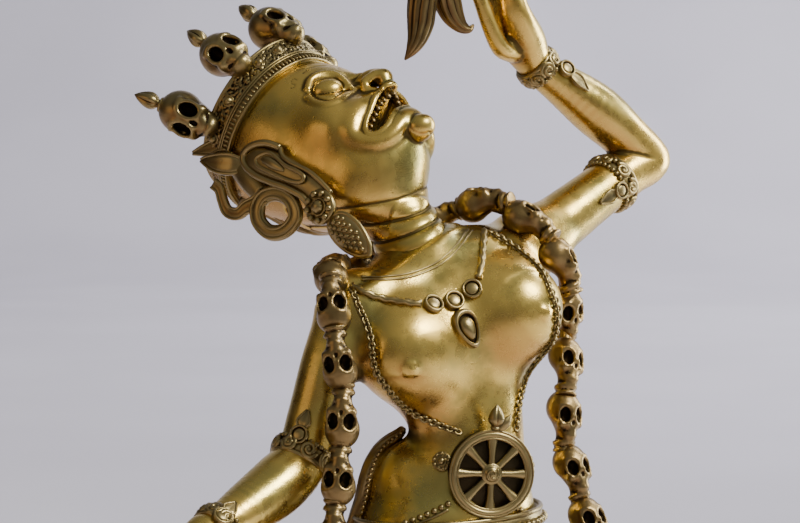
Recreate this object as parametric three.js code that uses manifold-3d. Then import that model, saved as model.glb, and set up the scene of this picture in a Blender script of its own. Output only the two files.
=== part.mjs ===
// A cast brass dakini on a low lotus base, in millimetres, +Z up, the origin under the middle of the base.
// She faces -Y, her right hand is towards -X, and she looks straight up at the skull cup in her left hand.

import * as THREE from "three";
import { mergeVertices } from "three/addons/utils/BufferGeometryUtils.js";
import Module from "manifold-3d";

const wasm = await Module();
wasm.setup();

const v = (x, y, z) => new THREE.Vector3(x, y, z);

// Driving dimensions
const GAP = 0.3; // clearance between two separate castings
const BASE = { height: 40, halfLength: 100, halfDepth: 60, squareness: 2.3 };
const PETALS = { count: 14, sidesEach: 3, relief: 0.07, level: 0.6 };
const SOLE = BASE.height + GAP;
const GARLAND = { pitch: 16.4, radius: 6.1, sides: 6 };
const WHEEL = { radius: 13.1, rim: 2.4, spokes: 8, spokeWidth: 2, hub: 3.4, depth: 3.4 };
const CUP = { radius: 17, wall: 1.6, depth: 15, sides: 14 };
const CROWN_SKULL = { radius: 7.5, length: 17, step: 45, sides: 6, lean: [0.06, 0.12, 0.62] };
const KNIFE = { handleRadius: 2.1, handleLength: 22, bladeSpan: 17, bladeThickness: 2.4 };
const KNIFE_FINIAL = [2.9, 2.9, 3.4];
const SIDES = { trunk: 12, neck: 10, head: 13, circlet: 16, hair: 8, limb: 7, trim: 6, finger: 5 };

// Joints of the figure
const WAIST = v(18, -12, 207);
const CHEST = v(12.5, -4, 243);
const SHOULDER_LEFT = v(51, 1, 262);
const ELBOW_LEFT = v(100, 7, 287);
const WRIST_LEFT = v(58.5, 9, 317);
const PALM_LEFT = v(46, 7.5, 333);
const SHOULDER_RIGHT = v(-16.5, -2, 245);
const ELBOW_RIGHT = v(-36, -6, 203);
const WRIST_RIGHT = v(-70, -16, 187);
const PALM_RIGHT = v(-80, -19.5, 177);
const HIP_LEFT = v(29, -9, 163);
const KNEE_LEFT = v(66, -34, 117);
const ANKLE_LEFT = v(58, -8, 54);
const TOES_LEFT = v(74, -36, SOLE + 4);
const HIP_RIGHT = v(-3, -6, 163);
const KNEE_RIGHT = v(-36, -12, 108);
const ANKLE_RIGHT = v(-68, -4, 54);
const TOES_RIGHT = v(-79, -34, SOLE + 4);
const CUP_CENTRE = v(26.5, 11, 354);

// An origin with three unit directions: right is her right side, front is where the piece faces, crown is up.
function makeFrame(origin, front, crown) {
  const up = crown.clone().normalize();
  const ahead = front.clone().addScaledVector(up, -front.dot(up)).normalize();
  const right = ahead.clone().cross(up);
  const at = (r, f, c) =>
    origin.clone().addScaledVector(right, r).addScaledVector(ahead, f).addScaledVector(up, c);
  return { origin, right, front: ahead, crown: up, at };
}

const HEAD = makeFrame(v(-4, 35.2, 287.4), v(0.238, -0.34, 0.907), v(-0.248, 0.881, 0.396));
const TORSO = makeFrame(CHEST, v(0, -0.985, 0.17), v(-0.29, 0.12, 0.95));
const BELLY = makeFrame(v(13.3, -27.6, 197), v(-0.3, -0.95, 0.06), v(0.05, 0, 1));

// Geometry helpers

// Points of an oval round a centre. shape scales the radius by angle, and 2 for squareness is an ellipse.
function oval(centre, across, along, a, b, sides, shape = () => 1, squareness = 2) {
  return Array.from({ length: sides }, (_, i) => {
    const angle = (2 * Math.PI * i) / sides;
    const c = Math.cos(angle);
    const s = Math.sin(angle);
    const k = shape(angle) / (Math.abs(c) ** squareness + Math.abs(s) ** squareness) ** (1 / squareness);
    return centre.clone().addScaledVector(across, a * c * k).addScaledVector(along, b * s * k);
  });
}

function middle(points) {
  return points.reduce((sum, p) => sum.add(p), v(0, 0, 0)).divideScalar(points.length);
}

// A closed solid through rings of equal count. Its ends are drawn to their middles, or meet in a loop.
function loft(rings, looped = false) {
  const sides = rings[0].length;
  const points = rings.flat();
  const faces = [];
  const last = looped ? rings.length : rings.length - 1;
  for (let i = 0; i < last; i++) {
    const low = i * sides;
    const high = ((i + 1) % rings.length) * sides;
    for (let j = 0; j < sides; j++) {
      const k = (j + 1) % sides;
      faces.push(low + j, low + k, high + k, low + j, high + k, high + j);
    }
  }
  if (!looped) {
    const first = points.push(middle(rings[0])) - 1;
    const end = points.push(middle(rings.at(-1))) - 1;
    const top = (rings.length - 1) * sides;
    for (let j = 0; j < sides; j++) {
      const k = (j + 1) % sides;
      faces.push(first, k, j, end, top + j, top + k);
    }
  }
  const geometry = new THREE.BufferGeometry().setFromPoints(points).setIndex(faces);
  return solid(geometry);
}

// A three.js geometry as a manifold solid with its faces pointing out.
function solid(geometry) {
  const bare = geometry.clone();
  bare.deleteAttribute("normal");
  bare.deleteAttribute("uv");
  const merged = mergeVertices(bare, 1e-4);
  const triVerts = new Uint32Array(merged.index.array);
  const vertProperties = new Float32Array(merged.attributes.position.array);
  const make = () => new wasm.Manifold(new wasm.Mesh({ numProp: 3, vertProperties, triVerts }));
  const made = make();
  if (made.volume() > 0) return made;
  for (let i = 0; i < triVerts.length; i += 3) {
    [triVerts[i + 1], triVerts[i + 2]] = [triVerts[i + 2], triVerts[i + 1]];
  }
  return make();
}

function fuse(...pieces) {
  return pieces.flat().reduce((sum, piece) => sum.add(piece));
}

// A limb: ovals carried along a smooth line through stations [point, radius across, radius along].
// Its "along" side faces the way that facing gives. Each band is [place from 0 to 1, width, rise], in
// shares of the limb's length and in millimetres, and rises round the limb as a bracelet does.
function limb(stations, sides, count, facing = v(0, -1, 0), bands = []) {
  const line = new THREE.CatmullRomCurve3(stations.map((s) => s[0]), false, "catmullrom", 0.5);
  const radii = new THREE.CatmullRomCurve3(
    stations.map((s) => v(s[1], s[2] ?? s[1], 0)),
    false,
    "catmullrom",
    0.5,
  );
  const plain = Array.from({ length: count }, (_, i) => [i / (count - 1), 0]);
  const clear = plain.filter(([t]) => bands.every(([at, width]) => Math.abs(t - at) > width));
  const raised = bands.flatMap(([at, width, rise]) => [
    [at - width / 2, 0],
    [at - width / 3, rise],
    [at + width / 3, rise],
    [at + width / 2, 0],
  ]);
  const rings = [...clear, ...raised]
    .sort((a, b) => a[0] - b[0])
    .map(([t, rise]) => {
      const tangent = line.getTangent(t);
      const along = facing.clone().addScaledVector(tangent, -facing.dot(tangent)).normalize();
      const across = tangent.clone().cross(along);
      const r = radii.getPoint(t);
      return oval(line.getPoint(t), across, along, r.x + rise, r.y + rise, sides);
    });
  return loft(rings);
}

// An ellipsoid with its half axes along a frame's right, front and crown.
function ellipsoid(frame, centre, radii, sides = 12, rings = 8) {
  const basis = new THREE.Matrix4().makeBasis(
    frame.right.clone().multiplyScalar(radii[0]),
    frame.front.clone().multiplyScalar(radii[1]),
    frame.crown.clone().multiplyScalar(radii[2]),
  );
  basis.setPosition(centre);
  return solid(new THREE.SphereGeometry(1, sides, rings).applyMatrix4(basis));
}

// Lotus base

// Height, reach and petal relief up the side of the base. reach is a share of the half length.
const BASE_PROFILE = [
  [0, 0.985, 0],
  [4, 0.985, 0],
  [6, 0.955, 0.4],
  [11, 0.965, 1],
  [17, 0.935, 0.8],
  [20, 0.885, 0],
  [24, 0.935, -0.8],
  [31, 0.96, -1],
  [37, 0.915, 0],
  [BASE.height, 0.915, 0],
];

// Petals swell between creases. The upper row is set half a petal on from the lower one.
function petalSwell(angle, row) {
  const shift = row < 0 ? Math.PI : 0;
  return Math.abs(Math.cos((PETALS.count * angle + shift) / 2)) - PETALS.level;
}

function lotusBase() {
  const sides = PETALS.count * PETALS.sidesEach;
  const rings = BASE_PROFILE.map(([z, reach, row]) =>
    oval(
      v(0, 0, z),
      v(1, 0, 0),
      v(0, 1, 0),
      BASE.halfLength * reach,
      BASE.halfDepth * reach,
      sides,
      (angle) => 1 + PETALS.relief * Math.abs(row) * petalSwell(angle, row),
      BASE.squareness,
    ),
  );
  return loft(rings);
}

// Figure

// Rings of the trunk: centre, half width, half depth, roll towards her right in degrees.
const TRUNK = [
  [v(13, -6, 150), 15, 11, 0],
  [v(13, -6, 158), 26, 18, 0],
  [v(13, -7, 170), 30, 20.5, 0],
  [v(13.4, -8, 177), 29.2, 20.3, 1],
  [v(13.5, -8.2, 178.5), 31.2, 22.3, 1],
  [v(13.7, -8.6, 182), 30.6, 22, 2],
  [v(14, -9, 183.5), 27.8, 19.6, 2],
  [v(16, -11, 195), 21.5, 16, 5],
  [WAIST, 18.3, 13.6, 8],
  [v(17, -9.5, 219), 20, 14.5, 12],
  [v(14.5, -6.5, 232), 24.5, 16.5, 15],
  [CHEST, 28, 17.5, 17],
  [v(13, -1.5, 254), 31, 14.5, 17],
  [v(12.5, 1, 261), 23, 11.5, 15],
  [v(11.5, 3, 265), 13, 10, 12],
];

function trunk() {
  return loft(
    TRUNK.map(([centre, a, b, roll]) => {
      const turn = THREE.MathUtils.degToRad(roll);
      return oval(centre, v(Math.cos(turn), 0, Math.sin(turn)), v(0, -1, 0), a, b, SIDES.trunk);
    }),
  );
}

function breasts() {
  return [v(30.5, -17.5, 244), v(-6.5, -14.5, 232.5)].map((centre) =>
    ellipsoid(TORSO, centre, [15.5, 15.5, 15.5], 11, 7),
  );
}

function neck() {
  const ringed = [v(11, 1.5, 258), v(9.6, 5.6, 266), v(8, 10.5, 273), v(6, 17, 280), v(4, 21, 283)];
  return limb(
    ringed.map((p, i) => [p, i === 0 ? 15 : 12.6]),
    SIDES.neck,
    6,
  );
}

// Slices of the head: height up the head, half width, reach ahead of and behind the head's centre.
const HEAD_SLICES = [
  [-40, 10, 10.5, -11],
  [-36, 13.5, 16, -12.5],
  [-32.5, 15.5, 21, -14.5],
  [-28.5, 17.2, 23, -16.5],
  [-25, 18.3, 26.5, -18],
  [-19, 19.8, 24.5, -19.5],
  [-13.5, 21, 27.5, -20.5],
  [-9, 21.6, 25, -21.5],
  [-1, 22.2, 23.5, -23],
  [5, 22.6, 27, -24],
  [14, 23, 26, -24.5],
  [23, 21.5, 22.5, -22.5],
  [29.5, 16, 16.5, -17],
  [33.5, 8, 8, -9],
];

function skull() {
  const rings = HEAD_SLICES.map(([c, width, ahead, behind]) => {
    const centre = HEAD.at(0, (ahead + behind) / 2, c);
    return oval(centre, HEAD.right, HEAD.front, width, (ahead - behind) / 2, SIDES.head);
  });
  return loft(rings);
}

// Nose, bulging eyes, chin and two rows of teeth, and the open mouth that is cut before the teeth go in.
function face() {
  const nose = limb(
    [
      [HEAD.at(0, 22, 3), 2.6],
      [HEAD.at(0, 27, -2), 3.2],
      [HEAD.at(0, 31, -8), 4.2, 3.8],
      [HEAD.at(0, 28, -11.5), 4.4, 3],
    ],
    6,
    5,
    HEAD.front,
  );
  const eyes = [1, -1].map((side) => ellipsoid(HEAD, HEAD.at(side * 11, 21.6, 0), [6.2, 4.6, 4.4], 7, 5));
  const chin = ellipsoid(HEAD, HEAD.at(0, 23.6, -29.6), [3.8, 3.8, 3.8], 7, 5);
  const mouth = ellipsoid(HEAD, HEAD.at(0, 28, -18.9), [11, 10, 5.6], 8, 6);
  const teeth = [-14.6, -23].map((c) =>
    limb([[HEAD.at(-9, 17, c), 1.5], [HEAD.at(0, 24.5, c), 1.5], [HEAD.at(9, 17, c), 1.5]], 4, 6, HEAD.crown),
  );
  return { added: [nose, ...eyes, chin], mouth, teeth };
}

// Rings of a skull from its dome to its jaw: place along it, radius as a share of the widest, socket depth.
const SKULL_RINGS = [
  [0, 0.45, 0],
  [0.22, 0.98, 0],
  [0.52, 0.97, 0.48],
  [0.76, 0.7, 0],
];

// The two sockets lie about an eighth of a turn either side of the way that the skull faces.
function socketShape(share, depth) {
  return (angle) => {
    const away = Math.min(angle, 2 * Math.PI - angle);
    return share * (1 - depth * Math.exp(-(((away - 0.85) / 0.3) ** 2)));
  };
}

// The line that the skulls follow, from her left shoulder down in front and back up, as a closed loop.
const GARLAND_LINE = [
  v(38.5, -4, 272.5),
  v(44.5, -13.5, 265.5),
  v(49, -18, 254),
  v(52.5, -14.5, 240),
  v(48.5, -20, 223),
  v(46, -23, 206),
  v(47, -29, 188),
  v(48, -38, 170),
  v(46, -46, 150),
  v(38, -48, 130),
  v(25, -45, 113),
  v(8, -41, 104),
  v(-9, -39, 108),
  v(-22, -37, 122),
  v(-31, -34, 141),
  v(-35.5, -29, 160),
  v(-36.5, -25, 180),
  v(-34, -23, 200),
  v(-31.5, -21, 220),
  v(-31.5, -17.5, 238),
  v(-27.5, -8.5, 252.5),
  v(-18, 6.5, 255.5),
  v(-6, 17, 254),
  v(6, 22.5, 253),
  v(17, 23, 258.5),
  v(26.5, 16, 268),
  v(33, 6, 274),
];
const GARLAND_AXIS = v(12, 60, 0);
const SHOULDER_HEIGHT = 248;

// A closed tube along the garland's line. ringsAt gives each ring's place, in skulls, and its shape.
function alongGarland(radius, ringsAt) {
  const line = new THREE.CatmullRomCurve3(GARLAND_LINE, true, "catmullrom", 0.5);
  line.arcLengthDivisions = 1200;
  const skulls = Math.round(line.getLength() / GARLAND.pitch);
  const oneSkull = (i) => ringsAt.map(([t, shape]) => [(i + t) / skulls, shape]);
  const places = Array.from({ length: skulls }, (_, i) => oneSkull(i));
  const rings = places.flat().map(([at, shape]) => {
    const centre = line.getPointAt(at);
    const tangent = line.getTangentAt(at);
    const outward = centre.clone().sub(GARLAND_AXIS).setZ(centre.z > SHOULDER_HEIGHT ? GARLAND_AXIS.y : 0);
    const facing = outward.addScaledVector(tangent, -outward.dot(tangent)).normalize();
    const across = facing.clone().cross(tangent);
    return oval(centre, facing, across, radius, radius, GARLAND.sides, shape);
  });
  return loft(rings, true);
}

function skullGarland() {
  return alongGarland(
    GARLAND.radius,
    SKULL_RINGS.map(([t, share, depth]) => [t, socketShape(share, depth)]),
  );
}

// The room that the garland needs, with the clearance, where it lies on the shoulders and the hair.
function garlandRoom() {
  const round = () => 1;
  return alongGarland(GARLAND.radius + 3 * GAP, [[0, round], [1 / 2, round]]);
}

// Crown: a tapered band round the head with five skulls standing on it
function crown() {
  const rim = [
    [14, 16, 16],
    [24.4, 27, 16],
    [26.4, 29.4, 28],
    [14, 16, 27],
  ];
  const hoop = ([a, b, c]) => oval(HEAD.at(0, 0, c), HEAD.right, HEAD.front, a, b, SIDES.circlet);
  const circlet = loft(rim.map(hoop), true);
  const skulls = [-2, -1, 0, 1, 2].flatMap((i) => crownSkull(i));
  return [circlet, ...skulls];
}

// One crown skull, counted from her brow, facing out, its jaw on the band and a bud on its dome. The
// further from the brow it stands, the more it leans out.
function crownSkull(i) {
  const angle = THREE.MathUtils.degToRad(5 + i * CROWN_SKULL.step);
  const out = HEAD.front.clone().multiplyScalar(Math.cos(angle)).addScaledVector(HEAD.right, Math.sin(angle));
  const { radius, length, sides } = CROWN_SKULL;
  const foot = HEAD.at(25.5 * Math.sin(angle), 26.5 * Math.cos(angle) - 1, 27);
  const rise = HEAD.crown.clone().addScaledVector(out, CROWN_SKULL.lean[Math.abs(i)]).normalize();
  const facing = out.clone().addScaledVector(rise, -out.dot(rise)).normalize();
  const across = facing.clone().cross(rise);
  const ring = (t, share, depth) =>
    oval(
      foot.clone().addScaledVector(rise, (1 - t) * length),
      facing,
      across,
      radius,
      radius,
      sides,
      socketShape(share, depth),
    );
  const rings = [...SKULL_RINGS, [1, 0.6, 0]].map(([t, share, depth]) => ring(t, share, depth));
  const bud = limb(
    [
      [foot.clone().addScaledVector(rise, length - 1), 2, 2],
      [foot.clone().addScaledVector(rise, length + 3), 3.2, 3.2],
      [foot.clone().addScaledVector(rise, length + 9), 0.6, 0.6],
    ],
    5,
    3,
    out,
  );
  return [loft(rings), bud];
}

// Ear, rosette, ear drop and ribbon on one side of the head (1 is her right, -1 her left).
// Her right side also has the ribbon's curl and a leaf.
function sideOfHead(side) {
  const s = (r, f, c) => HEAD.at(side * r, f, c);
  const outward = HEAD.right.clone().multiplyScalar(side);
  const ear = limb(
    [
      [s(22, -4, 11), 3.5, 2],
      [s(24, -2.5, 6), 7, 2.8],
      [s(24.4, -1, -3), 7, 2.6],
      [s(23.6, -3.5, -12), 5.4, 2.4],
      [s(23, -5.5, -22), 4.4, 2.2],
    ],
    6,
    6,
    outward,
  );
  const rosette = ellipsoid(HEAD, s(24.2, -6, -25), [3.4, 6, 6], 7, 5);
  const drop = limb([[s(24, -7, -29), 3, 3], [s(24, -9, -38), 5, 4], [s(24, -11, -48), 1, 1]], 6, 5, outward);
  const tail = limb(
    [
      [s(22, -9, 5), 2.6, 2],
      [s(25, -15.5, -1), 3, 2.2],
      [s(25, -21, -1), 2.8, 2.2],
      [s(25, -23.5, 5), 2.6, 2],
      [s(25, -20, 11.5), 2.4, 1.8],
      [s(25, -19, 17), 1, 1],
    ],
    5,
    8,
    outward,
  );
  const curl = new THREE.TorusGeometry(7.2, 2.6, 5, 10);
  curl.applyMatrix4(new THREE.Matrix4().makeBasis(HEAD.front, HEAD.crown, HEAD.right));
  const middleOfCurl = s(23.5, -15.5, -10);
  curl.translate(middleOfCurl.x, middleOfCurl.y, middleOfCurl.z);
  const leaf = limb(
    [
      [s(21, -7, 10), 3, 2],
      [s(24.5, -11, 17), 6.5, 2.4],
      [s(26, -14, 25), 4.6, 2],
      [s(26, -16, 31), 0.8, 0.8],
    ],
    5,
    5,
    outward,
  );
  return side > 0 ? [ear, rosette, drop, tail, solid(curl), leaf] : [ear, rosette, drop, tail];
}

// Hair from the back of the head, over the garland at the nape and down the hollow of the spine.
function hair() {
  const stations = [
    [HEAD.at(0, -10, 12), 19, 13],
    [HEAD.at(0, -15, -4), 18, 10],
    [v(5, 42, 272), 14, 6.5],
    [v(16, 38.5, 266), 12, 5.5],
    [v(24.5, 33, 255), 11, 5],
    [v(25.5, 18, 242), 10.5, 5],
    [v(25.3, 10.2, 229.3), 10.5, 5],
    [v(24.8, 4.5, 214.4), 10, 5],
    [v(23.5, 1.6, 202.6), 10, 5],
    [v(23.1, 5, 189.8), 11, 5],
    [v(24, 11.4, 177.7), 11, 4],
    [v(23, 14.5, 163.2), 4, 2],
  ];
  const line = new THREE.CatmullRomCurve3(stations.map((s) => s[0]), false, "catmullrom", 0.5);
  const size = new THREE.CatmullRomCurve3(stations.map((s) => v(s[1], s[2], 0)), false, "catmullrom", 0.5);
  const count = 11;
  const rings = Array.from({ length: count }, (_, i) => {
    const t = i / (count - 1);
    const tangent = line.getTangent(t);
    const across = v(1, 0, 0).addScaledVector(tangent, -tangent.x).normalize();
    const along = tangent.clone().cross(across);
    const r = size.getPoint(t);
    return oval(line.getPoint(t), across, along, r.x, r.y, SIDES.hair, (a) => 1 + 0.08 * Math.cos(4 * a));
  });
  return loft(rings);
}

// Fingers run from the knuckles over a held thing: each is a bent tapering limb.
function finger(points, radius) {
  return limb(
    points.map((p, i) => [p, radius * (1 - 0.09 * i)]),
    SIDES.finger,
    4,
  );
}

function leftArm() {
  const arm = limb(
    [
      [v(36, -1, 256), 11, 10],
      [SHOULDER_LEFT, 9.6, 9.6],
      [v(75, 4, 274.5), 8.3, 8.3],
      [v(92, 6.5, 283), 8, 8],
      [ELBOW_LEFT, 7.6, 8],
      [v(96, 7.5, 296), 8.6, 8.6],
      [v(82, 8, 303), 8.6, 8.4],
      [v(68, 8.5, 311), 6.6, 6.6],
      [WRIST_LEFT, 5.6, 5.6],
      [v(52, 8.5, 325), 7, 8.5],
      [PALM_LEFT, 5.5, 10],
      [v(43.5, 8.5, 341), 4, 9],
    ],
    SIDES.limb,
    14,
    v(0, -1, 0),
    [
      [0.23, 0.035, 2],
      [0.72, 0.03, 2],
    ],
  );
  const grip = makeFrame(CUP_CENTRE, v(1, 0, 0), v(0, 0, 1));
  const reach = CUP.radius + 3;
  const fingers = [-32, -11, 11, 32].map((degrees) => {
    const turn = THREE.MathUtils.degToRad(degrees);
    const spot = (rise) => {
      const lift = THREE.MathUtils.degToRad(rise);
      const out = Math.cos(lift) * reach;
      return grip.at(-Math.sin(turn) * out, Math.cos(turn) * out, Math.sin(lift) * reach);
    };
    return finger([v(45, 8 + degrees * 0.2, 338), spot(-22), spot(2), spot(16)], 2.9);
  });
  const thumb = finger([v(48, 3, 330), v(41, -5, 336), v(33, -8.5, 342), v(25, -9.5, 346)], 3.2);
  return [arm, ...fingers, thumb];
}

// The knife's own frame: front is the way its blade's flat faces, crown runs up its handle.
const KNIFE_FRAME = makeFrame(v(-82, -20, 174.5), v(0.3, -1, 0.1), v(-0.28, -0.12, 0.95));

function rightArm() {
  const arm = limb(
    [
      [v(-4, -2, 250), 10, 9],
      [SHOULDER_RIGHT, 8.8, 8.8],
      [v(-25, -4, 232), 8, 8.2],
      [v(-31, -5, 216), 7.6, 8],
      [ELBOW_RIGHT, 8, 8.2],
      [v(-46, -9, 196), 8.8, 8.6],
      [v(-58, -12.5, 191), 7.6, 7.4],
      [WRIST_RIGHT, 5.4, 5.6],
      [v(-75, -17.5, 184.5), 6.6, 6.4],
      [PALM_RIGHT, 5.5, 7],
    ],
    SIDES.limb,
    12,
    v(0, 0, 1),
    [
      [0.445, 0.045, 2],
      [0.775, 0.045, 2],
    ],
  );
  const fingers = [7, 2.6, -1.8, -6].map((rise) =>
    finger(
      [
        KNIFE_FRAME.at(-7, 1, rise),
        KNIFE_FRAME.at(-3, 6, rise),
        KNIFE_FRAME.at(4.5, 5, rise),
        KNIFE_FRAME.at(5.5, -1, rise),
        KNIFE_FRAME.at(1.5, -4.8, rise),
      ],
      2.5,
    ),
  );
  const thumb = finger(
    [KNIFE_FRAME.at(-8, -3, 6), KNIFE_FRAME.at(-2, -6, 9), KNIFE_FRAME.at(4, -5, 8)],
    2.7,
  );
  const tunnel = knifeHandle(KNIFE.handleRadius + GAP);
  return { added: [arm, ...fingers, thumb], tunnel };
}

function leg(stations, toes, ankle) {
  const shank = limb(stations, SIDES.limb, 10, v(0, -1, 0), [[0.84, 0.05, 1.8]]);
  const ahead = toes.clone().sub(ankle).setZ(0).normalize();
  const sole = (reach, height, wide, tall) => [
    v(ankle.x, ankle.y, SOLE + height).addScaledVector(ahead, reach),
    wide,
    tall,
  ];
  const stretches = [
    sole(-9, 5, 4.5, 4),
    sole(-4, 7.5, 6.4, 7.5),
    sole(8, 7.2, 6.8, 7.2),
    sole(20, 5, 8, 5),
    sole(29, 3.6, 8, 3.6),
    sole(34, 3.2, 5, 3.2),
  ];
  const foot = limb(stretches, SIDES.limb, 7, v(0, 0, 1));
  return [shank, foot];
}

function legs() {
  const bent = leg(
    [
      [v(24, -8, 172), 17, 17],
      [HIP_LEFT, 18, 18],
      [v(42, -18, 147), 16.4, 16],
      [v(56, -28, 129), 13.6, 13.6],
      [KNEE_LEFT, 11.4, 12],
      [v(66, -27, 100), 10.5, 11.4],
      [v(62, -17, 80), 8.6, 9.4],
      [ANKLE_LEFT, 6, 6.4],
      [v(58, -8, SOLE + 4), 6, 6],
    ],
    TOES_LEFT,
    ANKLE_LEFT,
  );
  const straight = leg(
    [
      [v(3, -6, 172), 17, 17],
      [HIP_RIGHT, 18, 18],
      [v(-14, -8.5, 145), 16, 16],
      [v(-26, -11, 126), 13.4, 13.4],
      [KNEE_RIGHT, 11.2, 11.6],
      [v(-46, -10, 92), 10.6, 11],
      [v(-57, -7, 74), 8.6, 9],
      [ANKLE_RIGHT, 6, 6.4],
      [v(-70, -4, SOLE + 4), 6, 6],
    ],
    TOES_RIGHT,
    ANKLE_RIGHT,
  );
  return [...bent, ...straight];
}

// Wheel on the belly: a disc, the pockets to cut between its spokes, and the ball on its hub.
function bellyWheel() {
  const { radius, rim, spokes, spokeWidth, hub, depth } = WHEEL;
  const turn = new THREE.Matrix4().makeBasis(BELLY.right.clone().negate(), BELLY.crown, BELLY.front);
  turn.setPosition(BELLY.origin);
  const place = (geometry) => solid(geometry.applyMatrix4(turn));
  const plain = { depth: 2 * depth, bevelEnabled: false };
  const disc = new THREE.CylinderGeometry(radius, radius, 2 * depth, 2 * spokes);
  disc.rotateX(Math.PI / 2).translate(0, 0, 1 - depth);
  const pockets = Array.from({ length: spokes }, (_, i) => {
    const corner = (r, side) => {
      const angle = (2 * Math.PI * (i + 0.5)) / spokes + side * (Math.PI / spokes - spokeWidth / 2 / r);
      return new THREE.Vector2(r * Math.cos(angle), r * Math.sin(angle));
    };
    const far = radius - rim;
    const outline = [corner(hub, -1), corner(far, -1), corner(far, 1), corner(hub, 1)];
    return place(new THREE.ExtrudeGeometry(new THREE.Shape(outline), plain).translate(0, 0, 1 - depth));
  });
  const ball = ellipsoid(BELLY, BELLY.origin, [hub, hub + 1, hub], 8, 5);
  return { disc: place(disc), pockets: fuse(pockets), ball };
}

// Bone apron: a pendant hangs from the belt in front, and a sash is rolled over her right hip.
function apron() {
  const pendant = limb(
    [
      [v(14, -28, 182), 9, 2.6],
      [v(14, -28.5, 170), 7, 2.8],
      [v(14, -26, 156), 4, 2.6],
      [v(14, -22, 144), 1.2, 1.4],
    ],
    SIDES.trim,
    5,
  );
  const sash = limb(
    [
      [v(8, -2, 204), 3, 3],
      [v(-3, -4, 197), 7, 5],
      [v(-10, -5, 188), 10, 7],
      [v(-13, -5, 178), 11, 7],
      [v(-14, -4, 166), 9, 6],
      [v(-15, -4, 156), 4, 4],
    ],
    SIDES.limb,
    7,
  );
  return [pendant, sash];
}

function figure() {
  const head = face();
  const right = rightArm();
  const wheel = bellyWheel();
  const whole = fuse(
    fuse(trunk(), wheel.disc).subtract(wheel.pockets),
    wheel.ball,
    breasts(),
    neck(),
    skull().add(head.added[0]).subtract(head.mouth),
    head.added.slice(1),
    head.teeth,
    hair(),
    crown(),
    sideOfHead(1),
    sideOfHead(-1),
    leftArm(),
    fuse(right.added).subtract(right.tunnel),
    legs(),
    apron(),
  );
  return whole.subtract(cupEnvelope()).subtract(garlandRoom()).subtract(belowSole());
}

// Everything under the soles, which leaves them flat on the base.
function belowSole() {
  const depth = 60;
  const reach = 4 * BASE.halfLength;
  const box = new THREE.BoxGeometry(reach, reach, depth);
  box.translate(0, 0, SOLE - depth / 2);
  return solid(box);
}

// Skull cup

const CUP_FRAME = makeFrame(CUP_CENTRE, v(0, -1, 0), v(-0.34, 0.06, 0.94));

function turned(profile, frame, sides) {
  const lathe = new THREE.LatheGeometry(profile.map(([x, y]) => new THREE.Vector2(x, y)), sides);
  const turn = new THREE.Matrix4().makeBasis(frame.right, frame.crown, frame.front.clone().negate());
  return solid(lathe.applyMatrix4(turn.setPosition(frame.origin)));
}

// The outside of the bowl, grown by the clearance, that the hand is cut back from.
function cupEnvelope() {
  const grown = CUP.radius + GAP;
  const steps = 5;
  const profile = Array.from({ length: steps }, (_, i) => {
    const angle = (Math.PI / 2) * (i / (steps - 1));
    return [grown * Math.sin(angle), -grown * Math.cos(angle) * (CUP.depth / CUP.radius) - 0.1];
  });
  return turned([...profile, [grown, 8], [0, 8]], CUP_FRAME, CUP.sides);
}

function skullCup() {
  const steps = 4;
  const bowl = (radius, depth, from, to) =>
    Array.from({ length: steps }, (_, i) => {
      const angle = (Math.PI / 2) * (from + ((to - from) * i) / (steps - 1));
      return [radius * Math.sin(angle), -depth * Math.cos(angle)];
    });
  const outside = bowl(CUP.radius, CUP.depth, 0, 1);
  const inside = bowl(CUP.radius - CUP.wall, CUP.depth - CUP.wall, 1, 0);
  const rim = [[CUP.radius, 3], [CUP.radius - CUP.wall, 3]];
  const shell = turned([...outside, ...rim, ...inside], CUP_FRAME, CUP.sides);
  const lock = (stations) => limb(stations, SIDES.trim, 7, v(0.55, 0.84, 0));
  const long = lock([
    [CUP_FRAME.at(9, 4, -9), 5, 5],
    [v(16, 10.5, 338), 7, 4.5],
    [v(14.5, 10.5, 329), 5.5, 4],
    [v(11.5, 10.5, 321.5), 3, 2.4],
    [v(9.3, 10, 317.5), 0.8, 0.8],
  ]);
  const short = lock([
    [CUP_FRAME.at(2, 4, -13), 5, 5],
    [v(22.5, 11, 338), 6, 5],
    [v(26, 10, 333), 5, 3.6],
    [v(30.5, 9.5, 331), 2.2, 1.6],
  ]);
  const inner = CUP.radius - CUP.wall;
  const room = [...bowl(inner, CUP.depth - CUP.wall, 0, 1), [inner, 8], [0, 8]];
  return fuse(shell, long, short).subtract(turned(room, CUP_FRAME, CUP.sides));
}

// Curved knife

function knifeHandle(radius) {
  const length = KNIFE.handleLength;
  const rings = [-length / 2, length / 2].map((c) =>
    oval(KNIFE_FRAME.at(0, 0, c), KNIFE_FRAME.right, KNIFE_FRAME.front, radius, radius, SIDES.trim),
  );
  return loft(rings);
}

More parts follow.
